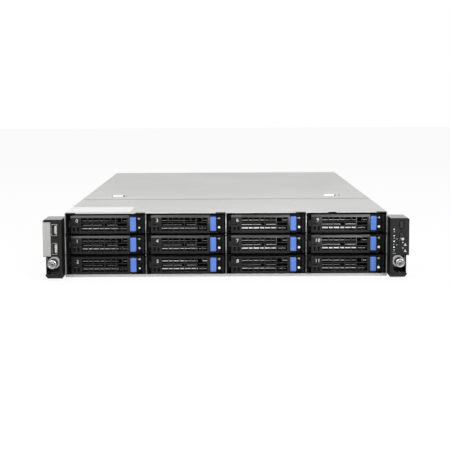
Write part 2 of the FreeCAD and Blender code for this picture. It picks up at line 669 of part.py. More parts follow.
def fan_frame():
    frame = new_body("fan_frame")
    half = f"{FAN} / 2"
    pad(frame, "XZ", "0", "fan_depth",
        [rect(f"-{half}", half, f"-{half}", half), ring("0", "0", FAN_BORE, 16)])
    back = "fan_depth - 3"
    reach = f"{FAN_BORE} + 0.5"
    for arm in (rect(f"-({reach})", reach, "-1.5", "1.5"),
                rect("-1.5", "1.5", f"-({reach})", reach)):
        pad(frame, "XZ", back, "3", [arm])
    pad(frame, "XZ", back, "3", [ring("0", "0", "fan_hub_r - 0.5", 12)])
    pad(frame, "XZ", "6", "fan_depth - 8", [ring("0", "0", "fan_shaft_r", 8)])
    return frame


def fan_rotor():
    rotor = new_body("fan_rotor_master")
    pad(rotor, "XZ", "2", "fan_depth - 6", [ring("0", "0", "fan_hub_r", 14)])
    cut(rotor, "XZ", "5", "fan_depth", [disc("0", "0", "fan_shaft_r + fan_fit")])
    middle, half = "(fan_depth / 2 - 2)", "blade_thick / 2"
    blade = pad(rotor, "YZ", "fan_hub_r - 4", f"{FAN_TIP} - fan_hub_r + 2.2",
                [[(f"{middle} - blade_run - {half}", "-blade_rise"),
                  (f"{middle} - blade_run + {half}", "-blade_rise"),
                  (f"{middle} + blade_run + {half}", "blade_rise"),
                  (f"{middle} + blade_run - {half}", "blade_rise")]])
    doc.recompute()
    blades = rotor.newObject("PartDesign::PolarPattern", "fan_blades")
    blades.Originals = [blade]
    axis = [f for f in rotor.Origin.OriginFeatures if f.Role == "Y_Axis"][0]
    blades.Axis = (axis, [""])
    blades.Angle = 360
    blades.Occurrences = 7
    rotor.Tip = blades
    return rotor


def cooling():
    middle = f"sheet_thick + {FAN} / 2"
    wall = new_body("fan_wall")
    holes = [ring(f"{n} * {FAN_STEP}", middle, FAN_BORE, 16) for n in (-1, 0, 1)]
    pad(wall, "XZ", f"{FRONT} + fan_y + fan_depth", "sheet_thick",
        [rect(f"-{INNER} + 0.5", f"{INNER} - 0.5", "sheet_thick",
              REAR_TOP)] + holes)
    frame, rotor = fan_frame(), fan_rotor()
    frames = []
    for n in (-1, 0, 1):
        spot = (f"{n} * {FAN_STEP}", f"{FRONT} + fan_y", middle)
        frames.append(copy("fan_frame_copy", frame, *spot))
        name = "fan_rotor_%d" % (n + 2)
        node(name, copy(name, rotor, *spot))
    node("fan_housings", group("fan_housings", [wall] + frames))


# ---------------------------------------------------------------- electronics

SOCKETS = (-85.0, 85.0)
BANK_MIDDLES = (-153.0, 0.0, 153.0)
BANK_COUNTS = (4, 8, 4)
FIN_COUNT = 11


def module_spots():
    for middle, count in zip(BANK_MIDDLES, BANK_COUNTS):
        for n in range(count):
            yield f"{BOARD_MID} + {middle} + {n - (count - 1) / 2} * module_pitch"


def motherboard():
    board = new_body("main_board")
    pad(board, "XY", "board_lift", "board_thick",
        [rect(BOARD_LEFT, BOARD_RIGHT, BOARD_FRONT, BOARD_REAR)])
    feet = [ring(x, y, "3", 6)
            for x in (f"{BOARD_LEFT} + 8", BOARD_MID, f"{BOARD_RIGHT} - 8")
            for y in (f"{BOARD_FRONT} + 8", f"({BOARD_FRONT} + {BOARD_REAR}) / 2",
                      f"{BOARD_REAR} - 16")]
    pad(board, "XY", "sheet_thick", "board_lift - sheet_thick", feet)
    parts = [board]
    for off in SOCKETS:
        x = f"({BOARD_MID} + {off})"
        parts.append(block("cpu_socket", f"{x} - 38", f"{x} + 38", f"{CPU_Y} - 38",
                           f"{CPU_Y} + 38", BOARD_TOP, f"{BOARD_TOP} + 5"))
    half = "(module_length / 2 + 4)"
    for x in module_spots():
        parts.append(block("memory_slot", f"{x} - 3.2", f"{x} + 3.2", f"{CPU_Y} - {half}",
                           f"{CPU_Y} + {half}", BOARD_TOP, f"{BOARD_TOP} + slot_height"))
    parts.append(block("bridge_sink", f"{BOARD_LEFT} + 62", f"{BOARD_LEFT} + 100",
                       f"{BOARD_FRONT} + 226", f"{BOARD_FRONT} + 264", BOARD_TOP,
                       f"{BOARD_TOP} + 14"))
    parts.append(block("coin_cell", f"{BOARD_LEFT} + 152", f"{BOARD_LEFT} + 172",
                       f"{BOARD_FRONT} + 206", f"{BOARD_FRONT} + 226", BOARD_TOP,
                       f"{BOARD_TOP} + 4"))
    for n in range(CARD_COUNT):
        x = f"{CARD_X} + {n} * card_pitch - 3.6"
        parts.append(block("card_slot", x, f"{x} + 7.2", f"{BOARD_REAR} - 160",
                           f"{BOARD_REAR} - 70", BOARD_TOP, f"{BOARD_TOP} + 11"))
    node("motherboard", group("motherboard", parts))


def cpu_heatsinks():
    sink = new_body("heatsink")
    base = f"({BOARD_TOP} + 5)"
    top = "(body_height - sink_drop)"
    step = f"((sink_size - fin_thick) / {FIN_COUNT - 1})"
    comb = [("-sink_size / 2", base), ("sink_size / 2", base)]
    for n in range(FIN_COUNT):
        right = f"sink_size / 2 - {n} * {step}"
        comb += [(right, top), (f"{right} - fin_thick", top)]
        if n < FIN_COUNT - 1:
            comb += [(f"{right} - fin_thick", f"{base} + sink_base"),
                     (f"{right} - {step}", f"{base} + sink_base")]
    pad(sink, "XZ", f"{CPU_Y} - sink_size / 2", "sink_size", [comb])
    node("cpu_heatsinks", group("cpu_heatsinks",
                                [copy("heatsink_copy", sink, f"{BOARD_MID} + {off}")
                                 for off in SOCKETS]))


def memory_modules():
    module = new_body("memory_module")
    half = "module_length / 2"
    pad(module, "XY", f"{BOARD_TOP} + slot_height", "module_height - 4",
        [rect("-0.6", "0.6", f"{CPU_Y} - {half}", f"{CPU_Y} + {half}")])
    node("memory_modules", group("memory_modules", [copy("module_copy", module, x)
                                                    for x in module_spots()]))


def power_supplies():
    case = new_body("psu_case")
    x1, x0 = PSU_RIGHT, f"({PSU_RIGHT} - psu_width)"
    y1 = PAN_REAR
    y0 = f"({y1} - psu_length)"
    pad(case, "XY", "0", PSU_HIGH, [rect(x0, x1, y0, y1)])
    inlet = f"({x0} + 19)"
    cut(case, "XZ", f"{y1} - 16", "17",
        [rect(f"{inlet} - 13.6", f"{inlet} + 13.6", "9", "31")])
    vents = []
    for n in range(4):
        x = f"({x0} + 38.5 + {n} * 7.4)"
        vents.append(rect(x, f"{x} + 5", "5", f"{PSU_HIGH} - 10"))
    cut(case, "XZ", f"{y1} - 3", "4", vents)
    middle = f"{PSU_HIGH} / 2 + 0.2"
    core = block("inlet_core", f"{inlet} - 11.2", f"{inlet} + 11.2", f"{y1} - 16", f"{y1} - 1.5",
                 f"{middle} - 7.2", f"{middle} + 7.2")
    handle = new_body("psu_handle")
    far = f"({y1} + 22)"
    wide = (f"({x1} - 31)", f"({x1} - 7)")
    pad(handle, "YZ", wide[0], f"{wide[1]} - {wide[0]}",
        [[(y1, f"{PSU_HIGH} - 8"), (far, f"{PSU_HIGH} - 8"),
          (far, f"{PSU_HIGH} - 5"), (y1, f"{PSU_HIGH} - 5")]])
    cut(handle, "XY", f"{PSU_HIGH} - 9", "6",
        [rect(f"{wide[0]} + 3", f"{wide[1]} - 3", f"{y1} - 1", f"{far} - 3")])
    latch = block("psu_latch", f"{x1} - 4.5", f"{x1} - 1.5", y1, f"{y1} + 9", "8", "26")
    master = group("psu_master", [case, core, handle, latch])
    for name, z in (("power_supply_1", "sheet_thick + seat_gap"),
                    ("power_supply_2", f"{PSU_SHELF} + sheet_thick + seat_gap")):
        node(name, copy(name, master, "0", "0", z))


def slot_covers():
    covers = []
    for n in range(CARD_COUNT):
        x = f"{CARD_X} + {n} * card_pitch"
        covers.append(block("slot_cover", f"{x} - card_cover_w / 2", f"{x} + card_cover_w / 2",
                            f"{REAR_FACE} - 0.8", REAR_FACE, "10.5", "body_height - 5"))
    node("slot_covers", group("slot_covers", covers))


def rear_shells():
    shells = []
    face = f"({PAN_REAR} + 0.5)"
    openings = {"usb_stack": [(-6.2, 6.2, 1.6, 6.8), (-6.2, 6.2, 9.2, 14.4)],
                "lan": [(-6.0, 6.0, 2.2, 10.6)]}
    for name, at, wide, high in PORTS:
        x = f"({at} - {INNER})"
        shell = new_body(name)
        pad(shell, "XZ", f"{face} - port_depth", "port_depth",
            [rect(f"{x} - {wide / 2}", f"{x} + {wide / 2}", BOARD_TOP, f"{BOARD_TOP} + {high}")])
        holes = openings.get(name.rsplit("_", 1)[0], openings.get(name))
        if holes:
            loops = [rect(f"{x} + {a}", f"{x} + {b}", f"{BOARD_TOP} + {c}", f"{BOARD_TOP} + {d}")
                     for a, b, c, d in holes]
            cut(shell, "XZ", f"{face} - 11", "12", loops)
        else:
            z = f"{BOARD_TOP} + {high / 2}"
            plug = [(f"{x} - 8.4", f"{z} + 4"), (f"{x} + 8.4", f"{z} + 4"),
                    (f"{x} + 7.2", f"{z} - 4"), (f"{x} - 7.2", f"{z} - 4")]
            pad(shell, "XZ", face, "5", [plug])
        shells.append(shell)
    return shells


# ---------------------------------------------------------------- rack ears

def ear_blank(name, side):
    """Moulded housing and scoop common to both ears; side is -1 or 1."""
    ear = new_body(name)
    inner = f"{side} * {SIDE}"
    low_out, high_out = f"{side} * {EAR_OUT}", f"{side} * {EAR_WIDE}"
    front, back = f"({FRONT} - ear_front)", f"({FRONT} + ear_back - ear_flange)"
    pad(ear, "XY", "ear_low", f"{EAR_STEP} - ear_low", [rect(inner, low_out, front, back)])
    pad(ear, "XY", EAR_STEP, f"{EAR_TOP} - {EAR_STEP}", [rect(inner, high_out, front, back)])
    high, out = value(EAR_TOP) - 0.01, value(EAR_OUT) + 0.5
    bevel(ear, "ear_bevel", lambda at, edge: at.z > high and abs(at.x) > out)
    low = value("ear_low") + 0.01
    edge_x = value(EAR_OUT) - 0.01
    bevel(ear, "3", lambda at, edge: at.z < low and abs(at.x) > edge_x)
    cut(ear, "XZ", f"{front} - 1", f"1 + ear_front + scoop_back",
        [rect(f"{side} * ({SIDE} + scoop_wall)", f"{side} * ({EAR_WIDE} + 2)",
              SCOOP_LOW, EAR_STEP)])
    bore = ring(f"{side} * {SCREW_X}", SCREW_Z, "screw_r + 2 * seat_gap", 12)
    cut(ear, "XZ", f"{FRONT} + scoop_back - 1", "40", [bore])
    return ear


def ear_metal(name, side):
    """Steel flange behind the moulding, and the thumbscrew ferrule."""
    flange = new_body(name + "_flange")
    x = f"{side} * {SCREW_X}"
    hole = ring(x, SCREW_Z, "screw_r + 2 * seat_gap", 12)
    bore = ring(x, SCREW_Z, "screw_r + screw_fit", 12)
    pad(flange, "XZ", f"{FRONT} + ear_back - ear_flange", "ear_flange",
        [rect(f"{side} * {SIDE}", f"{side} * {EAR_OUT}", "ear_low", EAR_TOP), hole])
    ferrule = new_body(name + "_ferrule")
    pad(ferrule, "XZ", f"{FRONT} + scoop_back - ferrule_long", "ferrule_long",
        [ring(x, SCREW_Z, "ferrule_r", 12), bore])
    return [flange, ferrule]


def left_ear():
    ear = ear_blank("left_housing", "-1")
    front = f"({FRONT} - ear_front)"
    wells = []
    for z in (USB_HIGH, USB_LOW):
        wells.append(rect(f"-{USB_X} - usb_width / 2", f"-{USB_X} + usb_width / 2",
                          f"{z} - usb_tall / 2", f"{z} + usb_tall / 2"))
    cut(ear, "XZ", f"{front} - 1", "usb_depth + 1", wells)
    cut(ear, "XZ", f"{front} - 1", "tag_face + seat_gap + 1",
        [rect(f"-{EAR_WIDE} - 1", f"-{EAR_WIDE} + tag_width + seat_gap",
              f"{TAG_LOW} - seat_gap", f"{TAG_TOP} + seat_gap")])
    blade = tag_blade_x()
    cut(ear, "XZ", f"{front} - 1", "tag_length + 4",
        [rect(f"{blade[0]} - seat_gap", f"{blade[1]} + seat_gap",
              f"{TAG_LOW} + 2 - seat_gap", f"{TAG_TOP} - 2 + seat_gap")])
    node("left_ear", group("left_ear", [ear] + ear_metal("left", "-1")))


def tag_blade_x():
    middle = f"(-{EAR_WIDE} + tag_width / 2)"
    return f"{middle} - tag_blade / 2", f"{middle} + tag_blade / 2"


def pull_out_tag():
    tag = new_body("pull_out_tag")
    front = f"({FRONT} - ear_front)"
    blade = tag_blade_x()
    pad(tag, "XZ", front, "tag_face",
        [rect(f"-{EAR_WIDE}", f"-{EAR_WIDE} + tag_width", TAG_LOW, TAG_TOP)])
    pad(tag, "XZ", f"{front} + tag_face", "tag_length - tag_face",
        [rect(blade[0], blade[1], f"{TAG_LOW} + 2", f"{TAG_TOP} - 2")])
    node("pull_out_tag", tag)


def front_shells():
    front = f"({FRONT} - ear_front)"
    pieces = []
    for n, z in enumerate((USB_HIGH, USB_LOW)):
        shell = new_body("usb_shell_%d" % n)
        x0, x1 = f"-{USB_X} - usb_width / 2", f"-{USB_X} + usb_width / 2"
        z0, z1 = f"{z} - usb_tall / 2", f"{z} + usb_tall / 2"
        start = f"{front} - 0.4"
        pad(shell, "XZ", start, "usb_depth + 0.4", [rect(x0, x1, z0, z1)])
        wall = "usb_wall"
        cut(shell, "XZ", f"{start} - 1", "usb_depth - 0.2",
            [rect(f"{x0} + {wall}", f"{x1} - {wall}", f"{z0} + {wall}", f"{z1} - {wall}")])
        tongue = block("usb_tongue_%d" % n, f"-{USB_X} - 2.6", f"-{USB_X} - 0.6", f"{front} + 1",
                       f"{start} + usb_depth - 1.2", f"{z} - 5.6", f"{z} + 5.6")
        pieces += [shell, tongue]
    return pieces


def port_shells():
    node("port_shells", group("port_shells", front_shells() + rear_shells()))


def pill(x, z, wide, tall, grow="0"):
    """Long octagon for the power button and its well."""
    a, b = f"({wide} / 2 + {grow})", f"({tall} / 2 + {grow})"
    c = f"({a} * 0.5)"
    return [(f"{x} - {a}", f"{z} - {b} + {c}"), (f"{x} - {c}", f"{z} - {b}"),
            (f"{x} + {c}", f"{z} - {b}"), (f"{x} + {a}", f"{z} - {b} + {c}"),
            (f"{x} + {a}", f"{z} + {b} - {c}"), (f"{x} + {c}", f"{z} + {b}"),
            (f"{x} - {c}", f"{z} + {b}"), (f"{x} - {a}", f"{z} + {b} - {c}")]


def right_ear():
    ear = ear_blank("right_housing", "1")
    front = f"({FRONT} - ear_front)"
    deep = "key_depth + 3"
    cut(ear, "XZ", f"{front} - 1", deep,
        [pill(KEY_X, POWER_Z, "power_width", "power_tall", "seat_gap"),
         ring(KEY_X, IDENT_Z, "ident_r + 2 * seat_gap", 16)])
    node("right_ear", group("right_ear", [ear] + ear_metal("right", "1")))


def ear_buttons():
    start = f"{FRONT} - ear_front - key_proud"
    power = new_body("power_button")
    pad(power, "XZ", start, "key_depth", [pill(KEY_X, POWER_Z, "power_width", "power_tall")])
    node("power_button", power)
    ident = new_body("id_button")
    pad(ident, "XZ", start, "key_depth", [ring(KEY_X, IDENT_Z, "ident_r", 16)])
    node("id_button", ident)


def thumbscrews():
    start = f"({FRONT} - ear_front + 1)"
    neck_start = f"({start} + knob_length)"
    neck_end = f"({FRONT} + scoop_back - ferrule_long - seat_gap - screw_reach)"
    thread = f"({FRONT} + ear_back + seat_gap)"
    for name, side in (("left_thumbscrew", "-1"), ("right_thumbscrew", "1")):
        screw = new_body(name)
        pad(screw, "XZ", start, "knob_length", [ring("0", "0", "knob_r", 20)])
        cut(screw, "XZ", f"{start} - 1", "3.5", [ring("0", "0", "knob_r - 2", 12)])
        pad(screw, "XZ", neck_start, f"{neck_end} - {neck_start}", [ring("0", "0", "neck_r", 12)])
        pad(screw, "XZ", neck_end, f"{thread} - {neck_end}", [ring("0", "0", "screw_r", 12)])
        pad(screw, "XZ", thread, "screw_reach - seat_gap", [disc("0", "0", "thread_r")])
        place(screw, f"{side} * {SCREW_X}", "0", SCREW_Z)
        node(name, screw)


# ---------------------------------------------------------------- build

for build in (chassis_pan, rear_panel, front_top_plate, rear_lid, drive_cage, backplane, drive_trays,
              cooling, motherboard, cpu_heatsinks, memory_modules, power_supplies, slot_covers,
              left_ear, pull_out_tag, port_shells, right_ear, ear_buttons, thumbscrews):
    build()
doc.recompute()

for thing in doc.Objects:
    if "Invalid" in thing.State or "Error" in thing.State:
        raise RuntimeError("%s did not rebuild" % thing.Name)

os.makedirs("parts", exist_ok=True)
for thing in NODES:
    shape = Part.getShape(thing)
    if shape.isNull() or not shape.isValid():
        raise RuntimeError("%s has no sound shape" % thing.Label)
    shape.exportStep("parts/%s.step" % thing.Label)
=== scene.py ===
import math
import random

import bmesh
import bpy
from mathutils import Matrix, Vector


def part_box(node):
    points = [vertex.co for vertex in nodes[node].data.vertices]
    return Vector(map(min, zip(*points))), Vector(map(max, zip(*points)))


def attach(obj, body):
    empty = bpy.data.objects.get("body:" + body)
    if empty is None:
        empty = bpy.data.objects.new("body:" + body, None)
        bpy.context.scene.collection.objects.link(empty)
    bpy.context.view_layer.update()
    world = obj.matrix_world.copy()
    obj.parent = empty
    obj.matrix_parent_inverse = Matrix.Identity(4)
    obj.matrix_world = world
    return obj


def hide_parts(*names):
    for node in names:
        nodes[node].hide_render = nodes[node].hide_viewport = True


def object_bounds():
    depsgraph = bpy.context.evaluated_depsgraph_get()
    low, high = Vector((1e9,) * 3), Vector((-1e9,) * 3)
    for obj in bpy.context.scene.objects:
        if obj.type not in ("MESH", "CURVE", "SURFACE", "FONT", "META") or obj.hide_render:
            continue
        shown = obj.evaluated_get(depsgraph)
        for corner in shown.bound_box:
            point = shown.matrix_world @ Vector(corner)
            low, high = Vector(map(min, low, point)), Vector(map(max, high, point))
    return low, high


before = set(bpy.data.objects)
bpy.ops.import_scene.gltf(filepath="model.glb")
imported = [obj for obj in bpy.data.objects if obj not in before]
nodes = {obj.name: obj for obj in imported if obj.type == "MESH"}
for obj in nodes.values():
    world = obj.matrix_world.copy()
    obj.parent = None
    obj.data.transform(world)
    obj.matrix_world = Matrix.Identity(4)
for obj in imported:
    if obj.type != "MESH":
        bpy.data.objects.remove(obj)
cad_low, cad_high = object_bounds()


# ---- Base pan ------------------------------------------------------------
# The base pan is galvanised steel sheet, 1 mm thick, folded up at the sides;
# the rear wall is a sheet of its own. Low rivets along the sides hold the cage.

MM = 0.001


def linear(code):
    """An sRGB hex colour as linear RGBA."""
    parts = [int(code[i:i + 2], 16) / 255 for i in (1, 3, 5)]
    return [c / 12.92 if c <= 0.04045 else ((c + 0.055) / 1.055) ** 2.4 for c in parts] + [1.0]


def add(tree, kind, links=None, **settings):
    """Add a node, give it its settings and link its inputs."""
    made = tree.nodes.new("ShaderNode" + kind)
    for name, setting in settings.items():
        if name in made.bl_rna.properties:
            setattr(made, name, setting)
        else:
            made.inputs[name.replace("_", " ")].default_value = setting
    for name, source in (links or {}).items():
        tree.links.new(source, made.inputs[name])
    return made


def surface(name, colour, metallic, roughness, **more):
    """A material with its shader set, and the coordinates patterns read."""
    made = bpy.data.materials.new(name)
    made.use_nodes = True
    made.diffuse_color = linear(colour)
    tree = made.node_tree
    shader = tree.nodes["Principled BSDF"]
    shader.inputs["Base Color"].default_value = linear(colour)
    shader.inputs["Metallic"].default_value = metallic
    shader.inputs["Roughness"].default_value = roughness
    for socket, setting in more.items():
        shader.inputs[socket.replace("_", " ")].default_value = setting
    place = add(tree, "TexCoord").outputs["Object"]
    return made, tree, shader, place


def grained(name, colour, other, grain, metallic, roughness, bump, stretch=(1, 1, 1), **more):
    """Two close colours and a relief, both from a noise of that grain in mm."""
    made, tree, shader, place = surface(name, colour, metallic, roughness, **more)
    turned_place = add(tree, "Mapping", {"Vector": place}, Scale=stretch).outputs["Vector"]
    noise = add(tree, "TexNoise", {"Vector": turned_place}, Scale=1 / (grain * MM), Detail=4.0)
    cloud = add(tree, "TexNoise", {"Vector": place}, Scale=1 / (40 * grain * MM), Detail=2.0)
    both = add(tree, "Math", {0: noise.outputs["Fac"], 1: cloud.outputs["Fac"]}, operation="MULTIPLY")
    ramp = add(tree, "ValToRGB", {"Fac": both.outputs[0]})
    ramp.color_ramp.elements[0].position = 0.12
    ramp.color_ramp.elements[1].position = 0.42
    ramp.color_ramp.elements[0].color = linear(other)
    ramp.color_ramp.elements[1].color = linear(colour)
    tree.links.new(ramp.outputs["Color"], shader.inputs["Base Color"])
    relief = add(tree, "Bump", {"Height": noise.outputs["Fac"]}, Strength=bump, Distance=0.2 * MM)
    tree.links.new(relief.outputs["Normal"], shader.inputs["Normal"])
    return made


def solid_of(node):
    """A copy of a CAD node's mesh with its loose triangles merged."""
    mesh = bmesh.new()
    mesh.from_mesh(nodes[node].data)
    bmesh.ops.remove_doubles(mesh, verts=mesh.verts, dist=1e-6)
    bmesh.ops.dissolve_limit(mesh, angle_limit=math.radians(1), verts=mesh.verts, edges=mesh.edges)
    for face in mesh.faces:
        face.material_index = 0
    return mesh


def join(mesh, shape, material=0, smooth=False):
    """Add a finished shape to a mesh in one material."""
    for face in shape.faces:
        face.material_index = material
        face.smooth = smooth
    data = bpy.data.meshes.new("shape")
    shape.to_mesh(data)
    shape.free()
    mesh.from_mesh(data)
    bpy.data.meshes.remove(data)


def turned(mesh, profile, at, facing, material=0, steps=32):
    """Spin a profile of (radius, height) points in mm about an axis through a point."""
    shape = bmesh.new()
    verts = [shape.verts.new((radius * MM, 0, height * MM)) for radius, height in profile]
    edges = [shape.edges.new(pair) for pair in zip(verts, verts[1:])]
    bmesh.ops.spin(shape, geom=verts + edges, cent=(0, 0, 0), axis=(0, 0, 1), dvec=(0, 0, 0),
                   angle=math.tau, steps=steps, use_merge=True)
    bmesh.ops.remove_doubles(shape, verts=shape.verts, dist=1e-7)
    bmesh.ops.recalc_face_normals(shape, faces=shape.faces)
    turn = Vector((0, 0, 1)).rotation_difference(Vector(facing)).to_matrix().to_4x4()
    bmesh.ops.transform(shape, matrix=Matrix.Translation(Vector(at) * MM) @ turn, verts=shape.verts)
    join(mesh, shape, material, True)


def piece(mesh, name, body, materials, replaced=(), rounding=0.0):
    """Turn a finished mesh into a piece that rides on its body."""
    data = bpy.data.meshes.new(name)
    mesh.to_mesh(data)
    mesh.free()
    for material in materials:
        data.materials.append(material)
    data.set_sharp_from_angle(angle=math.radians(35))
    made = bpy.data.objects.new(name, data)
    bpy.context.scene.collection.objects.link(made)
    if rounding:
        edge = made.modifiers.new("edge_rounding", "BEVEL")
        edge.width = rounding * MM
        edge.segments = 2
        edge.limit_method = "ANGLE"
        edge.angle_limit = math.radians(40)
    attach(made, body)
    if replaced:
        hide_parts(*replaced)


def paint(node, *materials):
    """Give a CAD node its finish."""
    nodes[node].data.materials.clear()
    for material in materials:
        nodes[node].data.materials.append(material)


def corners(node):
    """Lowest and highest corner of a CAD node in mm."""
    low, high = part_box(node)
    return low / MM, high / MM


# Galvanised steel sheet: pale and matt, with faint zinc grain, drawn at 3 mm.
galvanised_steel = grained("galvanised_steel", "#C9C9C7", "#BDBDBC", 3.0, 0.5, 0.45, 0.05)
# Nickel plated steel: bright, with a fine turned grain.
nickel_plate = grained("nickel_plated_steel", "#DCDCDA", "#C2C2C0", 0.6, 1.0, 0.24, 0.08)

# Painted shade on sheet steel: dark grey and dull, with a fine crystal grain, for sheets and edges that
# lie in shadow.
painted_shade_steel = grained("painted_shade_sheet_steel", "#2E2F30", "#1F2021", 2.0, 0.2, 0.55, 0.06)

paint("rear_panel", galvanised_steel)
pan_low, pan_high = corners("chassis_pan")
HALF_WIDTH = pan_high.x
FRONT = pan_low.y
SHEET = 1.0
mesh = solid_of("chassis_pan")
# The side sheets' front edges are painted shade, in the dark steel.
for face in mesh.faces:
    middle = face.calc_center_median() / MM
    on_side_sheet = abs(middle.x) > HALF_WIDTH - SHEET - 0.1
    if face.normal.y < -0.9 and middle.y < FRONT + 0.1 and on_side_sheet:
        face.material_index = 1
piece(mesh, "base_pan", "chassis", [galvanised_steel, painted_shade_steel],
      ["chassis_pan"])

# Low rivet heads, in two rows along each side.
RIVET = [(0, 0.5), (1.4, 0.4), (2.3, 0.0), (2.4, -0.3)]
RIVETS_ALONG = (22, 90, 158, 232, 420, 600, 745)
RIVET_ROWS = (14, 72)
mesh = bmesh.new()
for side in (-1, 1):
    for along in RIVETS_ALONG:
        for height in RIVET_ROWS:
            turned(mesh, RIVET, (side * (HALF_WIDTH - 0.2), FRONT + along, height), (side, 0, 0), steps=16)
piece(mesh, "side_rivets", "chassis", [nickel_plate])


# ---- Drive cage and backplane --------------------------------------------
# The cage is welded from a floor and five upright steel sheets with folded
# ledges, painted shade, with a painted highlight on their front edges. The
# backplane has a socket for each drive.

# Painted highlight on the cage's front edges: a lit grey copy of the steel beside the painted shade, with
# bright and dark runs.
painted_highlight_edge = grained("painted_highlight_steel_edge", "#B4B4B2", "#4A4A4A", 3.0, 0.6, 0.4, 0.06)
# Painted shade on the cage's tabs in the top's notches: dark against the pale top.
painted_shade_tab = grained("painted_shade_steel_tab", "#2A2A2B", "#1C1C1D", 1.0, 0.3, 0.5, 0.05)
TAB_REACH = 9.7
SIDE_SHEET = 3.0
mesh = solid_of("drive_cage")
tab_low = corners("drive_cage")[1].z - SHEET - 0.01
# The sheets stay painted shade; the tabs take a darker painted shade and the front edges the painted
# highlight.
for face in mesh.faces:
    middle = face.calc_center_median() / MM
    at_front = face.normal.y < -0.9 and middle.y < FRONT + 1.1
    if middle.z > tab_low and middle.y < FRONT + TAB_REACH:
        face.material_index = 1
    elif at_front and abs(middle.x) < HALF_WIDTH - SIDE_SHEET:
        face.material_index = 2
piece(mesh, "welded_cage", "chassis", [painted_shade_steel, painted_shade_tab, painted_highlight_edge],
      ["drive_cage"])


def circuit_board(name, colour, trace):
    """Solder mask over copper tracks, drawn 2 mm apart so that they show."""
    made, tree, shader, place = surface(name, colour, 0.0, 0.35, Coat_Weight=0.4)
    tracks = add(tree, "TexBrick", {"Vector": place}, Color1=linear(colour), Color2=linear(colour),
                 Mortar=linear(trace), Scale=1.0, Mortar_Size=0.25 * MM, Brick_Width=14 * MM,
                 Row_Height=2 * MM)
    dots = add(tree, "TexVoronoi", {"Vector": place}, Scale=1 / (6 * MM))
    pad = add(tree, "Math", {0: dots.outputs["Distance"]}, operation="LESS_THAN")
    pad.inputs[1].default_value = 0.12
    mixed = add(tree, "Mix", {"Factor": pad.outputs[0]}, data_type="RGBA")
    tree.links.new(tracks.outputs["Color"], mixed.inputs[6])
    mixed.inputs[7].default_value = linear("#B8A25A")
    tree.links.new(mixed.outputs[2], shader.inputs["Base Color"])
    relief = add(tree, "Bump", {"Height": tracks.outputs["Fac"]}, Strength=0.1, Distance=0.1 * MM)
    tree.links.new(relief.outputs["Normal"], shader.inputs["Normal"])
    return made


# Glass fibre circuit board under green solder mask: glossy, tracks showing.
green_board = circuit_board("green_solder_mask_board", "#1C4A2C", "#2C6A3E")
# Moulded nylon: plain black, slightly glossy.
black_nylon = grained("black_nylon", "#161617", "#0E0E0F", 0.9, 0.0, 0.42, 0.12)

BOARD_THICK = 1.8
mesh = solid_of("backplane")
board_face = corners("backplane")[1].y - BOARD_THICK
for face in mesh.faces:
    face.material_index = 1 if face.calc_center_median().y / MM < board_face - 0.5 else 0
piece(mesh, "backplane_board", "chassis", [green_board, black_nylon], ["backplane"], 0.15)


# ---- Drive trays ---------------------------------------------------------
# Each tray is a black moulded carrier with a cast aluminium 3.5 inch drive
# screwed between its rails, a white status light and a smaller marker.

TRAY_COUNT = 12
BAYS_IN_COLUMN = 3
TRAY_SIDE = 1.5
TRAY_NOSE = 0.7
RAIL = 2.2
DRIVE_LENGTH = 147.0

# Glass filled nylon: flat black, partly its own colour and partly painted shade so that the gaps read
# black; it also paints the shade on the ears' inner sides.
tray_nylon_and_shade = grained("black_glass_filled_nylon_and_painted_shade", "#070708", "#040405", 0.7, 0.0, 0.55, 0.06,
                     Specular_IOR_Level=0.2)
# Inside of a hole or socket: black in the shade.
dark_hole = grained("shaded_hole", "#040404", "#020202", 0.8, 0.0, 0.8, 0.1,
                    Specular_IOR_Level=0.1)
# Die cast aluminium: light grey with a soft granular skin.
cast_aluminium = grained("cast_aluminium", "#A9AAAB", "#8E8F90", 1.2, 0.9, 0.42, 0.2)
# Polished steel cover: bright and mirror-like, with broad dark bands painted in as reflections of the
# room.
polished_steel = grained("polished_cover_steel", "#F2F2F0", "#55565A", 6.0, 1.0, 0.16, 0.02)
# Painted glint: a pale satin steel bead that glows faintly though no lamp is in it, so that it reads as a
# white line in the shade.
painted_glint_bead = grained("painted_glint_bead_steel", "#FFFFFD", "#DADAD8", 4.0, 0.35, 0.35, 0.02,
                       Emission_Strength=0.45, Emission_Color=linear("#FFFFFF"))
# Printed paper label left blank: flat white with faint fibre.
blank_paper = grained("blank_label_paper", "#E2E2E0", "#DADAD7", 0.4, 0.0, 0.6, 0.05)
# Frosted polycarbonate light pipe: milky white, with a faint painted glow; no lamp lights it.
glowing_milky_lens = grained("milky_polycarbonate_painted_glow", "#F6F6F4", "#E8E8E6", 0.5, 0.0, 0.25, 0.02,
                     Subsurface_Weight=0.2, Emission_Strength=0.35,
                     Emission_Color=linear("#FFFFFF"))
# The same lens unlit: pale grey.
grey_lens = grained("unlit_polycarbonate", "#CACAC8", "#BABAB8", 0.5, 0.0, 0.3, 0.02)


def box(mesh, low, high, material=0, rounding=0.0):
    """A block between two corners in mm, with its edges rounded."""
    shape = bmesh.new()
    size = Vector(high) - Vector(low)
    middle = (Vector(high) + Vector(low)) / 2
    bmesh.ops.create_cube(shape, size=1.0,
                          matrix=Matrix.Translation(middle * MM) @ Matrix.Diagonal((*(size * MM), 1)))
    if rounding:
        bmesh.ops.bevel(shape, geom=shape.edges, offset=rounding * MM, affect="EDGES", segments=2,
                        profile=0.5, material=-1)
    join(mesh, shape, material)


def bay_corner(number):
    """The front lower left corner of a drive bay, in mm."""
    low = corners("drive_tray_%02d" % number)[0]
    return Vector((low.x - TRAY_SIDE, low.y - TRAY_NOSE, low.z))


def row_of(number):
    """A bay's row, counted up from the bottom: bays are numbered down each column."""
    return BAYS_IN_COLUMN - 1 - number % BAYS_IN_COLUMN


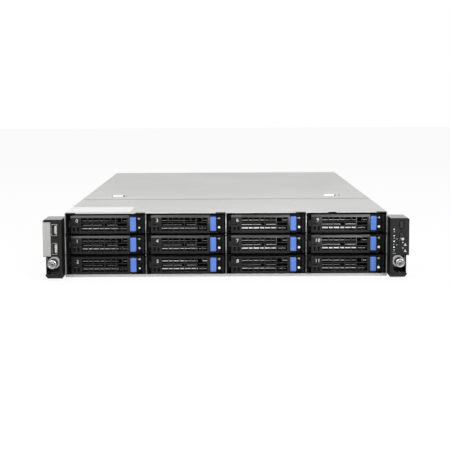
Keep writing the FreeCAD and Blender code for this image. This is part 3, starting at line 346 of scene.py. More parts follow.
# The largest bead radius on each drive, in mm, so that the glints painted on the drives' edges don't all
# look alike.
BEADS = (0.42, 0.4, 0.2, 0.35, 0.42, 0.6, 1.0, 0.9, 0.35, 1.0, 0.9, 0.35)
BEAD_FORWARD = 0.7
# Screws in the drive's top cover, and their places across and along it.
COVER_SCREW = [(0, 0.25), (1.2, 0.25), (1.6, 0.5), (2.6, 0.4), (2.8, 0)]
COVER_ACROSS = (8, 50.8, 93.6)
COVER_ALONG = (8, 62, 130)
SPINDLE_BOSS = [(0, 0.35), (15, 0.35), (16, 0.05), (16, -0.1)]
SPINDLE_ACROSS, SPINDLE_ALONG = 34, 98
# The cover's label: in from its left and its right side, and its two ends along it.
COVER_LABEL_LEFT, COVER_LABEL_RIGHT = 24, 8
COVER_LABEL_START, COVER_LABEL_END = 34, 118
# The status light's place in its bay and behind the tray's front, and the marker's above it.
STATUS_LENS = [(0, 1.1), (0.9, 0.95), (1.6, 0.4), (1.8, -0.4), (1.8, -1.0)]
LIGHT_ACROSS, LIGHT_BACK, LIGHT_HEIGHT = 99.7, 7.2, 6.6
FIRST_COLUMN_SIZE = 0.75
SMALL_LENS = [(0, 0.8), (1.1, 0.6), (1.4, -0.6)]
MARKER_ACROSS, MARKER_HEIGHT = 99.9, 19.1
DASH_LEFT, DASH_RIGHT = 97.0, 98.8
DASH_LOW, DASH_HIGH = 18.9, 19.5
for number in range(TRAY_COUNT):
    node, body = "drive_tray_%02d" % number, "tray_%02d" % number
    bay = bay_corner(number)
    tray_low, tray_high = corners(node)
    drive_front = tray_high.y - DRIVE_LENGTH
    drive_left, drive_right = tray_low.x + RAIL, tray_high.x - RAIL
    mesh = solid_of(node)
    for face in mesh.faces:
        middle = face.calc_center_median() / MM
        if middle.y > drive_front - 0.1 and drive_left - 0.1 < middle.x < drive_right + 0.1:
            face.material_index = 1 if face.normal.z < 0.9 or middle.z < tray_high.z - 0.5 else 2
            # The drive's front face is painted shade, black behind the lever's grille.
            if face.normal.y < -0.9 and middle.y < drive_front + 0.1:
                face.material_index = 3
    piece(mesh, "tray_carrier_%02d" % number, body,
          [tray_nylon_and_shade, cast_aluminium, polished_steel, dark_hole], [node], 0.3)

    # Glowing beads along the drive's front, painted glints of its metal edges, then a blank label, screws
    # and the spindle boss on its cover.
    mesh = bmesh.new()
    top = tray_high.z
    upper = 0.3 if row_of(number) else 0.9
    # Each bead's start, end and height, and its share of the drive's largest radius.
    for start, end, height, share in ((21, 54, 15.4, upper), (54, 70, 15.3, upper / 2),
                                      (77, 84, 15.4, upper), (21, 54, 4.6, 1), (54, 70, 4.6, 0.8),
                                      (72, 82, 4.4, 0.3), (22, 48, 9.4, 0.25), (55, 69, 9.4, 0.3)):
        radius, length = share * BEADS[number], end - start
        turned(mesh, [(0, 0), (radius, 0), (radius, length), (0, length)],
               (bay.x + start, drive_front - BEAD_FORWARD, bay.z + height), (1, 0, 0), 2, 16)
    box(mesh, (drive_left + COVER_LABEL_LEFT, drive_front + COVER_LABEL_START, top - 0.1),
        (drive_right - COVER_LABEL_RIGHT, drive_front + COVER_LABEL_END, top + 0.08), 1)
    for across in COVER_ACROSS:
        for along in COVER_ALONG:
            turned(mesh, COVER_SCREW, (drive_left + across, drive_front + along, top), (0, 0, 1), 0, 18)
    turned(mesh, SPINDLE_BOSS, (drive_left + SPINDLE_ACROSS, drive_front + SPINDLE_ALONG, top),
           (0, 0, 1), 0, 48)
    piece(mesh, "drive_fittings_%02d" % number, body, [nickel_plate, blank_paper, painted_glint_bead])

    # The white status light with a painted glow, smaller in the first column, and above it a grey lens and
    # a short bar.
    mesh = bmesh.new()
    light = Vector((bay.x + LIGHT_ACROSS, tray_low.y + LIGHT_BACK, bay.z + LIGHT_HEIGHT))
    scale = FIRST_COLUMN_SIZE if number < BAYS_IN_COLUMN else 1.0
    turned(mesh, [(radius * scale, rise) for radius, rise in STATUS_LENS], light, (0, -1, 0), 0, 24)
    turned(mesh, SMALL_LENS, (bay.x + MARKER_ACROSS, light.y, bay.z + MARKER_HEIGHT), (0, -1, 0), 1, 16)
    box(mesh, (bay.x + DASH_LEFT, light.y - 0.1, bay.z + DASH_LOW),
        (bay.x + DASH_RIGHT, light.y + 0.8, bay.z + DASH_HIGH), 1, 0.1)
    piece(mesh, "status_lights_%02d" % number, body, [glowing_milky_lens, grey_lens])


# ---- Tray levers ---------------------------------------------------------
# Each lever is one black moulding: a bowed front with a pierced grille, and a
# number zone at its left end, where it turns on the tray's hinge pin.

# Moulded ABS with a fine spark texture, drawn at 0.5 mm: near black, softly glossy.
black_abs = grained("black_textured_abs", "#131314", "#0E0E0F", 0.5, 0.0, 0.27, 0.05)
# A thin dim grey line on the black, below the number zone's groove.
grey_zone_line = grained("grey_moulded_line", "#4A4A4D", "#3A3A3C", 0.6, 0.0, 0.35, 0.05)

# The chamfer along each lever's top: how far its lower line drops and its upper line comes
# forward, in mm, from the bottom row up.
CHAMFER = 2.0
CHAMFER_DROP = (-0.9, 0.9, 1.2)
CHAMFER_LEAN = (-0.3, 0.6, 0.6)
# The grille has four groups of three slots; a thin upright bar halves the top and bottom ones.
LEVER_LEFT = 7.0
GROUPS = 4
GRILLE_START = 16.4
GRILLE_END = 2.1
GROUP_GAP = 1.4
BAR_HALF = 0.75
BAR_DEPTH = 1.2
SKIN = 1.25
SLOT_BOTTOMS = (2.8, 14.8)
SLOT_TALL = 6.0
# The number zone's face slants back from the grille to the hinge.
BOW = 1.2
BOW_START, BOW_END = 20.9, LEVER_LEFT
# In that zone two slots and a groove, flat and painted dark as shade, and a thin grey line: each one's
# left side, width, lower side, height and material.
ZONE_MARKS = ((10.2, 4.8, 3.0, 5.4, 0), (15.9, 4.6, 3.0, 5.4, 0), (9.4, 11.4, 11.0, 1.0, 0),
              (9.4, 11.4, 9.2, 0.4, 1))


def bowed_back(across):
    """How far the number zone lies behind the lever's front there, in mm."""
    return BOW * (BOW_START - across) / (BOW_START - BOW_END)


for number in range(TRAY_COUNT):
    name, body = "tray_lever_%02d" % number, "lever_%02d" % number
    bay = bay_corner(number)
    low, high = corners(name)
    mesh = solid_of(name)
    bmesh.ops.triangulate(mesh, faces=[face for face in mesh.faces if abs(face.normal.y) > 0.9])
    for vert in mesh.verts:
        place = vert.co / MM
        below_top = high.z - place.z
        if abs(below_top - CHAMFER) < 0.1 and place.y < low.y + 1.3:
            vert.co.z -= CHAMFER_DROP[row_of(number)] * MM
        elif below_top < 0.1 and place.y < low.y + 3.3 and place.x > bay.x + LEVER_LEFT - 0.1:
            vert.co.y -= CHAMFER_LEAN[row_of(number)] * MM
    first = bay.x + LEVER_LEFT + GRILLE_START
    step = (high.x - first - GRILLE_END) / GROUPS
    front = low.y + SKIN
    for group in range(GROUPS):
        bar = first + group * step + (step - GROUP_GAP) / 2
        for bottom in SLOT_BOTTOMS:
            box(mesh, (bar - BAR_HALF, front, low.z + bottom),
                (bar + BAR_HALF, front + BAR_DEPTH, low.z + bottom + SLOT_TALL), 0, 0.15)
    piece(mesh, "lever_grille_%02d" % number, body, [black_abs], [name], 0.25)

    mesh = bmesh.new()
    for left, wide, bottom, tall, tone in ZONE_MARKS:
        front = low.y + bowed_back(left + wide / 2)
        box(mesh, (bay.x + left, front - 0.02, low.z + bottom),
            (bay.x + left + wide, front + 0.4, low.z + bottom + tall), tone)
    piece(mesh, "number_zone_slots_%02d" % number, body, [dark_hole, grey_zone_line])


# Pad printed ink: thin flat white figures.
white_ink = grained("white_pad_print_ink", "#F4F4F2", "#E6E6E4", 0.3, 0.0, 0.55, 0.02)


def figures(text, size):
    """Printed figures as a thin upright mesh that faces forward, in mm."""
    curve = bpy.data.curves.new("figures", "FONT")
    curve.body = text
    curve.size = size * MM
    curve.extrude = 0.06 * MM
    curve.offset = -0.03 * MM
    curve.space_character = 1.12
    curve.align_x = "CENTER"
    curve.align_y = "CENTER"
    holder = bpy.data.objects.new("figures", curve)
    bpy.context.scene.collection.objects.link(holder)
    bpy.context.view_layer.update()
    flat = bpy.data.meshes.new_from_object(holder)
    bpy.data.objects.remove(holder)
    mesh = bmesh.new()
    mesh.from_mesh(flat)
    bmesh.ops.transform(mesh, verts=mesh.verts, matrix=Matrix.Rotation(math.pi / 2, 4, "X"))
    return mesh


FIGURE_SIZE = 6.6
FIGURE_ACROSS, FIGURE_HEIGHT = 15.6, 17.0
slant = math.atan2(BOW, BOW_START - BOW_END)
for number in range(TRAY_COUNT):
    bay = bay_corner(number)
    low = corners("tray_lever_%02d" % number)[0]
    mesh = figures(str(number), FIGURE_SIZE)
    place = Vector((bay.x + FIGURE_ACROSS, low.y + bowed_back(FIGURE_ACROSS) - 0.03,
                    low.z + FIGURE_HEIGHT))
    bmesh.ops.transform(mesh, verts=mesh.verts,
                        matrix=Matrix.Translation(place * MM) @ Matrix.Rotation(-slant, 4, "Z"))
    piece(mesh, "bay_number_%02d" % number, "lever_%02d" % number, [white_ink])


# ---- Release buttons -----------------------------------------------------
# A blue moulded button stands beside each lever's free end. Its front is
# smooth, with rounded edges.

# Moulded blue ABS: even satin blue with a very fine grain.
blue_abs = grained("blue_moulded_abs", "#5F83D2", "#5478C8", 0.5, 0.0, 0.4, 0.05,
                   Specular_IOR_Level=0.35)
for number in range(TRAY_COUNT):
    name = "tray_button_%02d" % number
    mesh = solid_of(name)
    piece(mesh, "release_button_%02d" % number, "button_%02d" % number, [blue_abs],
          [name], 0.9)


# ---- Top plate -----------------------------------------------------------
# The fixed front part of the top: galvanised sheet notched over the cage's
# tabs, held by flat screws, with one blank paper label.

mesh = solid_of("front_top_plate")
piece(mesh, "top_plate", "chassis", [galvanised_steel], ["front_top_plate"], 0.25)
plate_top = corners("front_top_plate")[1].z
LABEL_LEFT, LABEL_RIGHT = -218.3, -130.5
LABEL_FRONT, LABEL_REAR = 14, 84
mesh = bmesh.new()
box(mesh, (LABEL_LEFT, FRONT + LABEL_FRONT, plate_top - 0.05),
    (LABEL_RIGHT, FRONT + LABEL_REAR, plate_top + 0.1))
piece(mesh, "blank_top_label", "chassis", [blank_paper])

SCREW = [(0, -0.35), (0.9, -0.35), (1.0, 0.08), (2.6, 0.12), (2.9, -0.02), (2.9, -0.3)]
SCREWS_ACROSS = (-211, -117, -10, 99, 208)
SCREWS_ALONG = (85, 155)
mesh = bmesh.new()
for across in SCREWS_ACROSS:
    for along in SCREWS_ALONG:
        turned(mesh, SCREW, (across, FRONT + along, plate_top), (0, 0, 1), 0, 20)
piece(mesh, "top_plate_screws", "chassis", [nickel_plate])


# ---- Lid -----------------------------------------------------------------
# The removable rear lid slides off backwards by two pressed finger grips;
# galvanised sheet with a folded rear lip.

mesh = solid_of("rear_lid")
piece(mesh, "sliding_lid", "lid", [galvanised_steel], ["rear_lid"], 0.25)
lid_low, lid_high = corners("rear_lid")
GRIP_BACK = FRONT + 278.5
# Painted light and shade in each grip pocket: a plain white wall for its lit rear wall, and a black block
# at its end for the shade there.
painted_light_grip_wall = grained("painted_light_grip_wall_white", "#F6F6F4", "#ECECEA", 0.6, 0.0, 0.5, 0.05)
GRIP_WALL_SPANS = ((-179.0, -162.3), (155.8, 172.2))
POCKET_FLOOR = lid_high.z - 2.4
mesh = bmesh.new()
for start, end in GRIP_WALL_SPANS:
    box(mesh, (start, GRIP_BACK - 6, POCKET_FLOOR), (end, GRIP_BACK, lid_high.z - 0.02), 0, 0.5)
    # Beside each wall, a black block of painted shade at the pocket's end.
    box(mesh, (end + 0.2, GRIP_BACK - 8, POCKET_FLOOR),
        (end + 1.3, GRIP_BACK - 0.2, lid_high.z - 0.6), 1, 0.3)
piece(mesh, "grip_walls_painted_light_and_shade", "lid", [painted_light_grip_wall, black_nylon])
# The lid's front hem is a double thickness; this band along it, duller than the sheet, is painted shade at
# the seam.
painted_seam_shade = grained("painted_seam_shade_zinc", "#A9A9A7", "#9C9C9A", 3.0, 0.5, 0.5, 0.05)
SEAM_SHADE_DEPTH = 13
mesh = bmesh.new()
box(mesh, (lid_low.x + 1, lid_low.y + 0.3, lid_high.z - 0.1),
    (lid_high.x - 1, lid_low.y + SEAM_SHADE_DEPTH, lid_high.z + 0.06))
piece(mesh, "front_seam_painted_shade", "lid", [painted_seam_shade])


# ---- Fans ----------------------------------------------------------------
# Three 80 mm fans stand in a steel wall behind the backplane; each rotor has
# seven swept blades on a cup that hides its motor.

# Glass filled nylon: matt charcoal.
fan_nylon = grained("charcoal_glass_filled_nylon", "#232425", "#1A1B1C", 0.7, 0.0, 0.5, 0.12)
mesh = solid_of("fan_housings")
wall_y = corners("fan_housings")[1].y - SHEET
for face in mesh.faces:
    face.material_index = 1 if face.calc_center_median().y / MM > wall_y - 0.01 else 0
piece(mesh, "fan_frames_and_wall", "chassis", [fan_nylon, galvanised_steel],
      ["fan_housings"], 0.3)

BLADES = 7
BLADE_REACH = 37.2
BLADE_THICK = 1.4
# The blades' turn at the root, how much of it they lose and how far they sweep by the tip, in
# radians, and their middle and depth along the axle.
BLADE_TURN, BLADE_TAPER, BLADE_SWEEP = 0.95, 0.25, 0.35
BLADE_MIDDLE, BLADE_DEPTH = 17, 22
HUB = 17.5
HUB_DEPTH = 32
AXLE = 2.05
AXLE_HEIGHT = 41.0
HUB_PROFILE = [(0, 0), (HUB - 2, 0), (HUB, -2), (HUB, -HUB_DEPTH), (AXLE, -HUB_DEPTH), (AXLE, -3),
               (0, -3)]
for number in (1, 2, 3):
    name = "fan_rotor_%d" % number
    low, high = corners(name)
    middle = Vector(((low.x + high.x) / 2, low.y, AXLE_HEIGHT))
    mesh = bmesh.new()
    turned(mesh, HUB_PROFILE, middle, (0, -1, 0), 0, 48)
    for blade in range(BLADES):
        shape = bmesh.new()
        bmesh.ops.create_grid(shape, x_segments=8, y_segments=6, size=0.5)
        for vert in shape.verts:
            span = vert.co.x + 0.5
            out = HUB - 0.5 + span * (BLADE_REACH - HUB)
            sweep = vert.co.y * (BLADE_TURN - BLADE_TAPER * span) + BLADE_SWEEP * span ** 2
            turn = math.tau * blade / BLADES + sweep
            depth = BLADE_MIDDLE + vert.co.y * BLADE_DEPTH
            vert.co = Vector((out * math.cos(turn), depth, out * math.sin(turn))) * MM + middle * MM
        bmesh.ops.solidify(shape, geom=shape.faces, thickness=BLADE_THICK * MM)
        bmesh.ops.recalc_face_normals(shape, faces=shape.faces)
        join(mesh, shape, 0, True)
    piece(mesh, "fan_impeller_%d" % number, "fan_%d" % number, [fan_nylon], [name])


# ---- Motherboard ---------------------------------------------------------
# A green board on brass standoffs with processor sockets, memory slots, card
# slots, a small heatsink and two staggered rows of capacitors.

mesh = solid_of("motherboard")
board_low, board_high = corners("motherboard")
BOARD_TOP = 9.1
STANDOFF_TOP = 7.4
for face in mesh.faces:
    height = face.calc_center_median().z / MM
    if height > BOARD_TOP + 0.1:
        face.material_index = 1
    elif height < STANDOFF_TOP:
        face.material_index = 2
# Brass standoff: yellow metal, lightly turned.
brass = grained("turned_brass", "#C9A24B", "#A9853A", 0.8, 1.0, 0.3, 0.08)
piece(mesh, "main_board", "chassis", [green_board, black_nylon, brass],
      ["motherboard"], 0.2)

# Capacitor can: bright aluminium with a fine grain.
can_aluminium = grained("capacitor_can", "#C8C9CA", "#A4A6A8", 0.7, 1.0, 0.3, 0.05)
CAN = [(0, 9.0), (3.0, 9.0), (3.4, 8.4), (3.4, 0)]
CAN_COUNT, CAN_PITCH, CAN_FIRST = 26, 12.6, 14
CAN_ROW, CAN_STAGGER = 12, 6
CHIP_COUNT = 30
CHIP_SIZES = (4, 6, 9)
CHIP_HEIGHT = 1.2
CHIPS_FRONT, CHIPS_BACK = 165, 240
random.seed(7)
mesh = bmesh.new()
for n in range(CAN_COUNT):
    across = board_low.x + CAN_FIRST + n * CAN_PITCH
    along = board_low.y + CAN_ROW + CAN_STAGGER * (n % 2)
    turned(mesh, CAN, (across, along, BOARD_TOP), (0, 0, 1), 0, 14)
for n in range(CHIP_COUNT):
    across = random.uniform(board_low.x + 12, board_high.x - 14)
    along = random.uniform(board_low.y + CHIPS_FRONT, board_low.y + CHIPS_BACK)
    wide = random.choice(CHIP_SIZES)
    box(mesh, (across, along, BOARD_TOP - 0.1),
        (across + wide, along + wide, BOARD_TOP + CHIP_HEIGHT), 1, 0.15)
piece(mesh, "capacitors_and_chips", "chassis", [can_aluminium, black_nylon])

# Extruded aluminium fins: bright, with draw lines along them.
fin_aluminium = grained("extruded_fin_aluminium", "#C9CBCD", "#AEB1B4", 0.5, 1.0, 0.35, 0.12,
                        (1, 0.1, 1))
mesh = solid_of("cpu_heatsinks")
piece(mesh, "processor_heatsinks", "chassis", [fin_aluminium], ["cpu_heatsinks"], 0.15)

# The memory modules' black chips fill this band of their sides.
CHIPS_LOW, CHIPS_HIGH = 23, 36.2
mesh = solid_of("memory_modules")
for face in mesh.faces:
    height = face.calc_center_median().z / MM
    face.material_index = 1 if abs(face.normal.x) > 0.9 and CHIPS_LOW < height < CHIPS_HIGH else 0
piece(mesh, "memory_sticks", "chassis", [green_board, black_nylon],
      ["memory_modules"], 0.1)


# ---- Power supplies ------------------------------------------------------
# Two plug-in supplies in plain sheet cases, each with an inlet and its blades,
# vent slots, a small light, a black pull handle and a green latch.

# Green nylon: dark and satin, so that the latch stands out from the handle.
green_nylon = grained("green_nylon_latch", "#2F6B4A", "#26593D", 0.8, 0.0, 0.45, 0.1)
HANDLE_REACH = 22
INLET_DEPTH = 16
INLET_ACROSS = 19
INLET_HALF = 12
# The three blades stand in a triangle round the inlet's middle.
INLET_BLADES = ((-7, -2), (0, 3), (7, -2))
BLADE_HALF_WIDTH, BLADE_HALF_HEIGHT = 1, 2.2
SUPPLY_LIGHT = [(0, 0.5), (1.2, 0.3), (1.5, -0.2)]
SUPPLY_LIGHT_ACROSS, SUPPLY_LIGHT_HEIGHT = 8, 35
for number in (1, 2):
    name = "power_supply_%d" % number
    low, high = corners(name)
    face_y = high.y - HANDLE_REACH
    inlet = low.x + INLET_ACROSS
    mesh = solid_of(name)
    for face in mesh.faces:
        middle = face.calc_center_median() / MM
        in_inlet = middle.y > face_y - INLET_DEPTH - 0.1 and abs(middle.x - inlet) < INLET_HALF
        if middle.y > face_y + 0.01:
            face.material_index = 1 if middle.x < high.x - 5 else 2
        elif in_inlet and face.normal.y > -0.5:
            face.material_index = 1 if middle.y < face_y - 0.1 else 0
    piece(mesh, "supply_case_%d" % number, "psu_%d" % number,
          [galvanised_steel, black_nylon, green_nylon], [name], 0.2)
    mesh = bmesh.new()
    height = (low.z + high.z) / 2 + 0.2
    for across, rise in INLET_BLADES:
        at, up = inlet + across, height + rise
        box(mesh, (at - BLADE_HALF_WIDTH, face_y - 3, up - BLADE_HALF_HEIGHT),
            (at + BLADE_HALF_WIDTH, face_y - 0.6, up + BLADE_HALF_HEIGHT), 0, 0.2)
    turned(mesh, SUPPLY_LIGHT, (low.x + SUPPLY_LIGHT_ACROSS, face_y, low.z + SUPPLY_LIGHT_HEIGHT),
           (0, 1, 0), 1, 16)
    piece(mesh, "inlet_blades_%d" % number, "psu_%d" % number, [nickel_plate, glowing_milky_lens])


# ---- Rear ports and slot covers ------------------------------------------
# Plated port shells stand on the board behind the rear wall, and two more in
# the left ear have black tongues. Pierced covers close the six card slots.

# Moulded insert of the video port: plain blue. The serial port's insert is green.
port_blue = grained("blue_port_insert", "#27489A", "#1F3C86", 0.7, 0.0, 0.45, 0.05)
# Gold flash on contacts: bright yellow metal.
gold_contact = grained("gold_flashed_contact", "#D9B45A", "#C49C3E", 0.5, 1.0, 0.25, 0.02)
TONGUE_LEFT, TONGUE_RIGHT = -231.1, -228.9
mesh = solid_of("port_shells")
for face in mesh.faces:
    middle = face.calc_center_median() / MM
    face.material_index = 1 if middle.y < FRONT and TONGUE_LEFT < middle.x < TONGUE_RIGHT else 0
piece(mesh, "connector_shells", "chassis", [nickel_plate, black_nylon],
      ["port_shells"], 0.15)

# Plug inserts with two rows of pins and a hexagonal post at each side; network and USB contacts.
VIDEO_PORT, SERIAL_PORT = -112, -74
NETWORK_PORTS = (-181, -162, -143)
USB_LEFT, USB_RIGHT = -208.4, -197.6
USB_TONGUES = (4.2, 11.8)
PLUG_REACH = 5.0
PLUG_HALF_WIDTH, PLUG_HALF_HEIGHT = 7, 3
PIN = [(0, 0.12), (0.35, 0.12), (0.4, 0)]
PIN_ROWS, PINS_IN_ROW = 2, 5
PIN_PITCH, PIN_ROW_PITCH = 2.5, 2.4
POST = [(0, 1), (1.1, 1), (1.2, 2.6), (2.4, 2.6), (2.6, 2.2), (2.6, 0)]
POSTS = (-12.5, 12.5)
NETWORK_CONTACTS = 8
plug_face = corners("port_shells")[1].y
wall_face = plug_face - PLUG_REACH
height = BOARD_TOP + 6.3
mesh = bmesh.new()
for across, tone in ((VIDEO_PORT, 1), (SERIAL_PORT, 2)):
    box(mesh, (across - PLUG_HALF_WIDTH, plug_face - 1, height - PLUG_HALF_HEIGHT),
        (across + PLUG_HALF_WIDTH, plug_face + 0.05, height + PLUG_HALF_HEIGHT), tone, 0.3)
    for row in range(PIN_ROWS):
        for n in range(PINS_IN_ROW):
            turned(mesh, PIN, (across - 5 + PIN_PITCH * n, plug_face + 0.05,
                               height - 1.2 + PIN_ROW_PITCH * row), (0, 1, 0), 3, 8)
    for side in POSTS:
        turned(mesh, POST, (across + side, wall_face, height), (0, 1, 0), 0, 6)
for across in NETWORK_PORTS:
    for n in range(NETWORK_CONTACTS):
        left = across - 4 + n
        box(mesh, (left + 0.1, wall_face - 9, BOARD_TOP + 8.6),
            (left + 0.6, wall_face - 1.5, BOARD_TOP + 9.6), 4)
for rise in USB_TONGUES:
    box(mesh, (USB_LEFT, wall_face - 10, BOARD_TOP + rise - 0.1),
        (USB_RIGHT, wall_face - 1.2, BOARD_TOP + rise + 1.2), 3, 0.1)
piece(mesh, "port_inserts", "chassis",
      [nickel_plate, port_blue, green_nylon, black_nylon, gold_contact])

CARD_COUNT, CARD_PITCH = 6, 20.32
HOLE = [(0, 0.03), (2.1, 0.03), (2.2, -0.1)]
FIRST_CARD = 9.2
HOLE_COUNT, HOLE_PITCH, FIRST_HOLE = 9, 6.4, 22
mesh = solid_of("slot_covers")
covers_low, covers_high = corners("slot_covers")
# Each hole is a flat dark disc on the cover, painted shade.
for n in range(CARD_COUNT):
    across = covers_low.x + FIRST_CARD + n * CARD_PITCH
    for row in range(HOLE_COUNT):
        turned(mesh, HOLE, (across, covers_high.y, FIRST_HOLE + row * HOLE_PITCH), (0, 1, 0), 1, 6)
piece(mesh, "card_slot_covers", "chassis", [galvanised_steel, dark_hole],
      ["slot_covers"])


# ---- Rack ears -----------------------------------------------------------
# Each ear is a black moulded housing over a folded steel flange; a plated
# ferrule in its scoop guides the captive thumbscrew.

# Glossier moulded ABS: near black, its top mirrors the room as grey.
ear_abs = grained("black_gloss_abs", "#19191A", "#131314", 0.5, 0.0, 0.16, 0.03)
# Satin plated rim: pale, with a faint painted glow, though no lamp is in it, so that a crescent of it
# shows in the scoop's shade.
glowing_rim_nickel = grained("satin_plated_rim_painted_glow", "#F6F6F4", "#E0E0DE", 0.8, 0.35, 0.4, 0.05,
                     Emission_Strength=0.35, Emission_Color=linear("#FFFFFF"))
SCREW_ACROSS, SCREW_HEIGHT = 232.55, 21.875
SCOOP_BACK = FRONT - 7
SCOOP_FLOOR, SCOOP_ROOF = 8.5, 32.7
EAR_CHAMFER = 4.0
CHAMFER_CUT = 2.4
RIB_INNER, RIB_OUTER = 240.1, 241.3
FERRULE_RIM = [(5.9, 0.1), (6.5, 0.1), (6.5, 9.8), (6.7, 9.8), (7.6, 8.7), (7.6, 0.0)]
for side, name in ((-1, "left_ear"), (1, "right_ear")):
    low, high = corners(name)
    outer = max(abs(low.x), abs(high.x))
    mesh = solid_of(name)
    for vert in mesh.verts:
        below, inside = high.z - vert.co.z / MM, outer - abs(vert.co.x) / MM
        if below < EAR_CHAMFER + 0.1 and inside < EAR_CHAMFER + 0.1:
            if below > EAR_CHAMFER - 0.1:
                vert.co.z += CHAMFER_CUT * MM
            elif inside > EAR_CHAMFER - 0.1:
                vert.co.x += side * CHAMFER_CUT * MM
    for face in mesh.faces:
        middle = face.calc_center_median() / MM
        away = math.hypot(middle.x - side * SCREW_ACROSS, middle.z - SCREW_HEIGHT)
        if middle.y > high.y - 2.01:
            face.material_index = 1
        elif away < 6.5 and SCOOP_BACK - 2.6 < middle.y < SCOOP_BACK - 0.1:
            face.material_index = 2
        # The housing's inner sides beside the chassis are painted shade in near black.
        elif face.normal.x * side < -0.9 and abs(middle.x) < HALF_WIDTH + 0.1:
            face.material_index = 3
    piece(mesh, name + "_housing", "chassis",
          [ear_abs, galvanised_steel, nickel_plate, tray_nylon_and_shade], [name], 0.8)

    # The scoop sweeps round the thumbscrew: two rounded inner corners and an outer rib.
    mesh = bmesh.new()
    inner = side * (HALF_WIDTH + 3.4)
    for radius, rise, floor_z, depth in ((10.0, 1, SCOOP_FLOOR, 24.5), (6.5, -1, SCOOP_ROOF, 16.0)):
        shape = bmesh.new()
        centre = Vector((inner + side * radius, SCOOP_BACK, floor_z + rise * radius)) * MM
        start = shape.verts.new(Vector((inner, SCOOP_BACK, centre.z / MM)) * MM)
        bmesh.ops.spin(shape, geom=[start], cent=centre, axis=(0, 1, 0),
                       angle=-side * rise * math.pi / 2, steps=10)
        corner = shape.verts.new(Vector((inner, SCOOP_BACK, floor_z)) * MM)
        for end in [v for v in shape.verts if len(v.link_edges) == 1]:
            shape.edges.new((end, corner))
        web = bmesh.ops.contextual_create(shape, geom=shape.edges)["faces"]
        pushed = bmesh.ops.extrude_face_region(shape, geom=web)
        bmesh.ops.translate(shape, vec=(0, -depth * MM, 0),
                            verts=[v for v in pushed["geom"] if isinstance(v, bmesh.types.BMVert)])
        bmesh.ops.recalc_face_normals(shape, faces=shape.faces)
        join(mesh, shape, 0, True)
    rib = sorted((side * RIB_INNER, side * RIB_OUTER))
    box(mesh, (rib[0], SCOOP_BACK - 20, 8.0), (rib[1], SCOOP_BACK + 0.1, 32.6), 0, 0.5)
    piece(mesh, name + "_scoop_sweep", "chassis", [ear_abs])

    mesh = bmesh.new()
    turned(mesh, FERRULE_RIM, (side * SCREW_ACROSS, SCOOP_BACK - 0.1, SCREW_HEIGHT), (0, -1, 0), 0, 48)
    piece(mesh, name + "_ferrule_rim", "chassis", [glowing_rim_nickel])

ear_low, ear_high = corners("left_ear")
EAR_FRONT, EAR_TOP = ear_low.y, ear_high.z
# Painted sheen on the ear tops: a grey band where the black top reflects the bright room.
painted_top_sheen = grained("painted_top_sheen_grey", "#77777A", "#68686B", 0.5, 0.0, 0.3, 0.03)
SHEEN_OUTER = 240.8
SHEEN_DEPTH = 21
mesh = bmesh.new()
for side in (-1, 1):
    sheen_span = sorted((side * (HALF_WIDTH + 1.2), side * SHEEN_OUTER))
    box(mesh, (sheen_span[0], EAR_FRONT + 1.2, EAR_TOP - 0.1),
        (sheen_span[1], EAR_FRONT + SHEEN_DEPTH, EAR_TOP + 0.1))
piece(mesh, "ear_top_painted_sheen", "chassis", [painted_top_sheen])

# A pale grey insulator in each front receptacle, and gold contacts on its black tongue.
FRONT_USB_HEIGHTS = (68.6, 43.475)
CONTACT_COUNT, CONTACT_PITCH = 4, 2.5
CONTACT_LEFT, CONTACT_RIGHT = -229.2, -228.9
INSULATOR_LEFT, INSULATOR_RIGHT = -228.7, -225.2
INSULATOR_HALF = 5.9
mesh = bmesh.new()
for height in FRONT_USB_HEIGHTS:
    for n in range(CONTACT_COUNT):
        low_z = height - 4.4 + CONTACT_PITCH * n
        box(mesh, (CONTACT_LEFT, EAR_FRONT + 1.2, low_z), (CONTACT_RIGHT, EAR_FRONT + 6, low_z + 1.2),
            0, 0.1)
    box(mesh, (INSULATOR_LEFT, EAR_FRONT + 1.4, height - INSULATOR_HALF),
        (INSULATOR_RIGHT, EAR_FRONT + 9, height + INSULATOR_HALF), 1, 1.2)
piece(mesh, "usb_contacts", "chassis", [gold_contact, grey_lens])

# Moulded ABS tag: light grey and matt, with a blank face.
white_abs = grained("white_moulded_abs", "#AFAFAD", "#A4A4A2", 0.6, 0.0, 0.5, 0.05)
mesh = solid_of("pull_out_tag")
piece(mesh, "pull_tag", "tag", [white_abs], ["pull_out_tag"], 0.35)


# ---- Right ear keys and lights -------------------------------------------
# A long power key and a round locator key in wells painted dark as shade, a
# round light, and a column of four small lights with plain printed marks beside them.

# Dark grey rubbery key: slightly lighter than the housing.
grey_key = grained("grey_moulded_key", "#2E2E31", "#262629", 0.6, 0.0, 0.4, 0.06,
                   Specular_IOR_Level=0.3)
for node, body in (("power_button", "power_key"), ("id_button", "id_key")):
    mesh = solid_of(node)
    piece(mesh, node + "_cap", body, [grey_key], [node], 0.6)

KEY_ACROSS = 233.9
KEY_WELL = 3.5
POWER_LOW, POWER_HIGH = 71.1, 76.5
LOCATOR = 60.4
# Each well round a key is a flat dark ring of painted shade.
WELL = [(0, 0.06), (KEY_WELL, 0.06), (KEY_WELL, -0.2)]
mesh = bmesh.new()
for height in (POWER_LOW, POWER_HIGH, LOCATOR):
    turned(mesh, WELL, (KEY_ACROSS, EAR_FRONT, height), (0, -1, 0), 2, 32)
box(mesh, (KEY_ACROSS - KEY_WELL, EAR_FRONT - 0.05, POWER_LOW),
    (KEY_ACROSS + KEY_WELL, EAR_FRONT + 0.2, POWER_HIGH), 2)

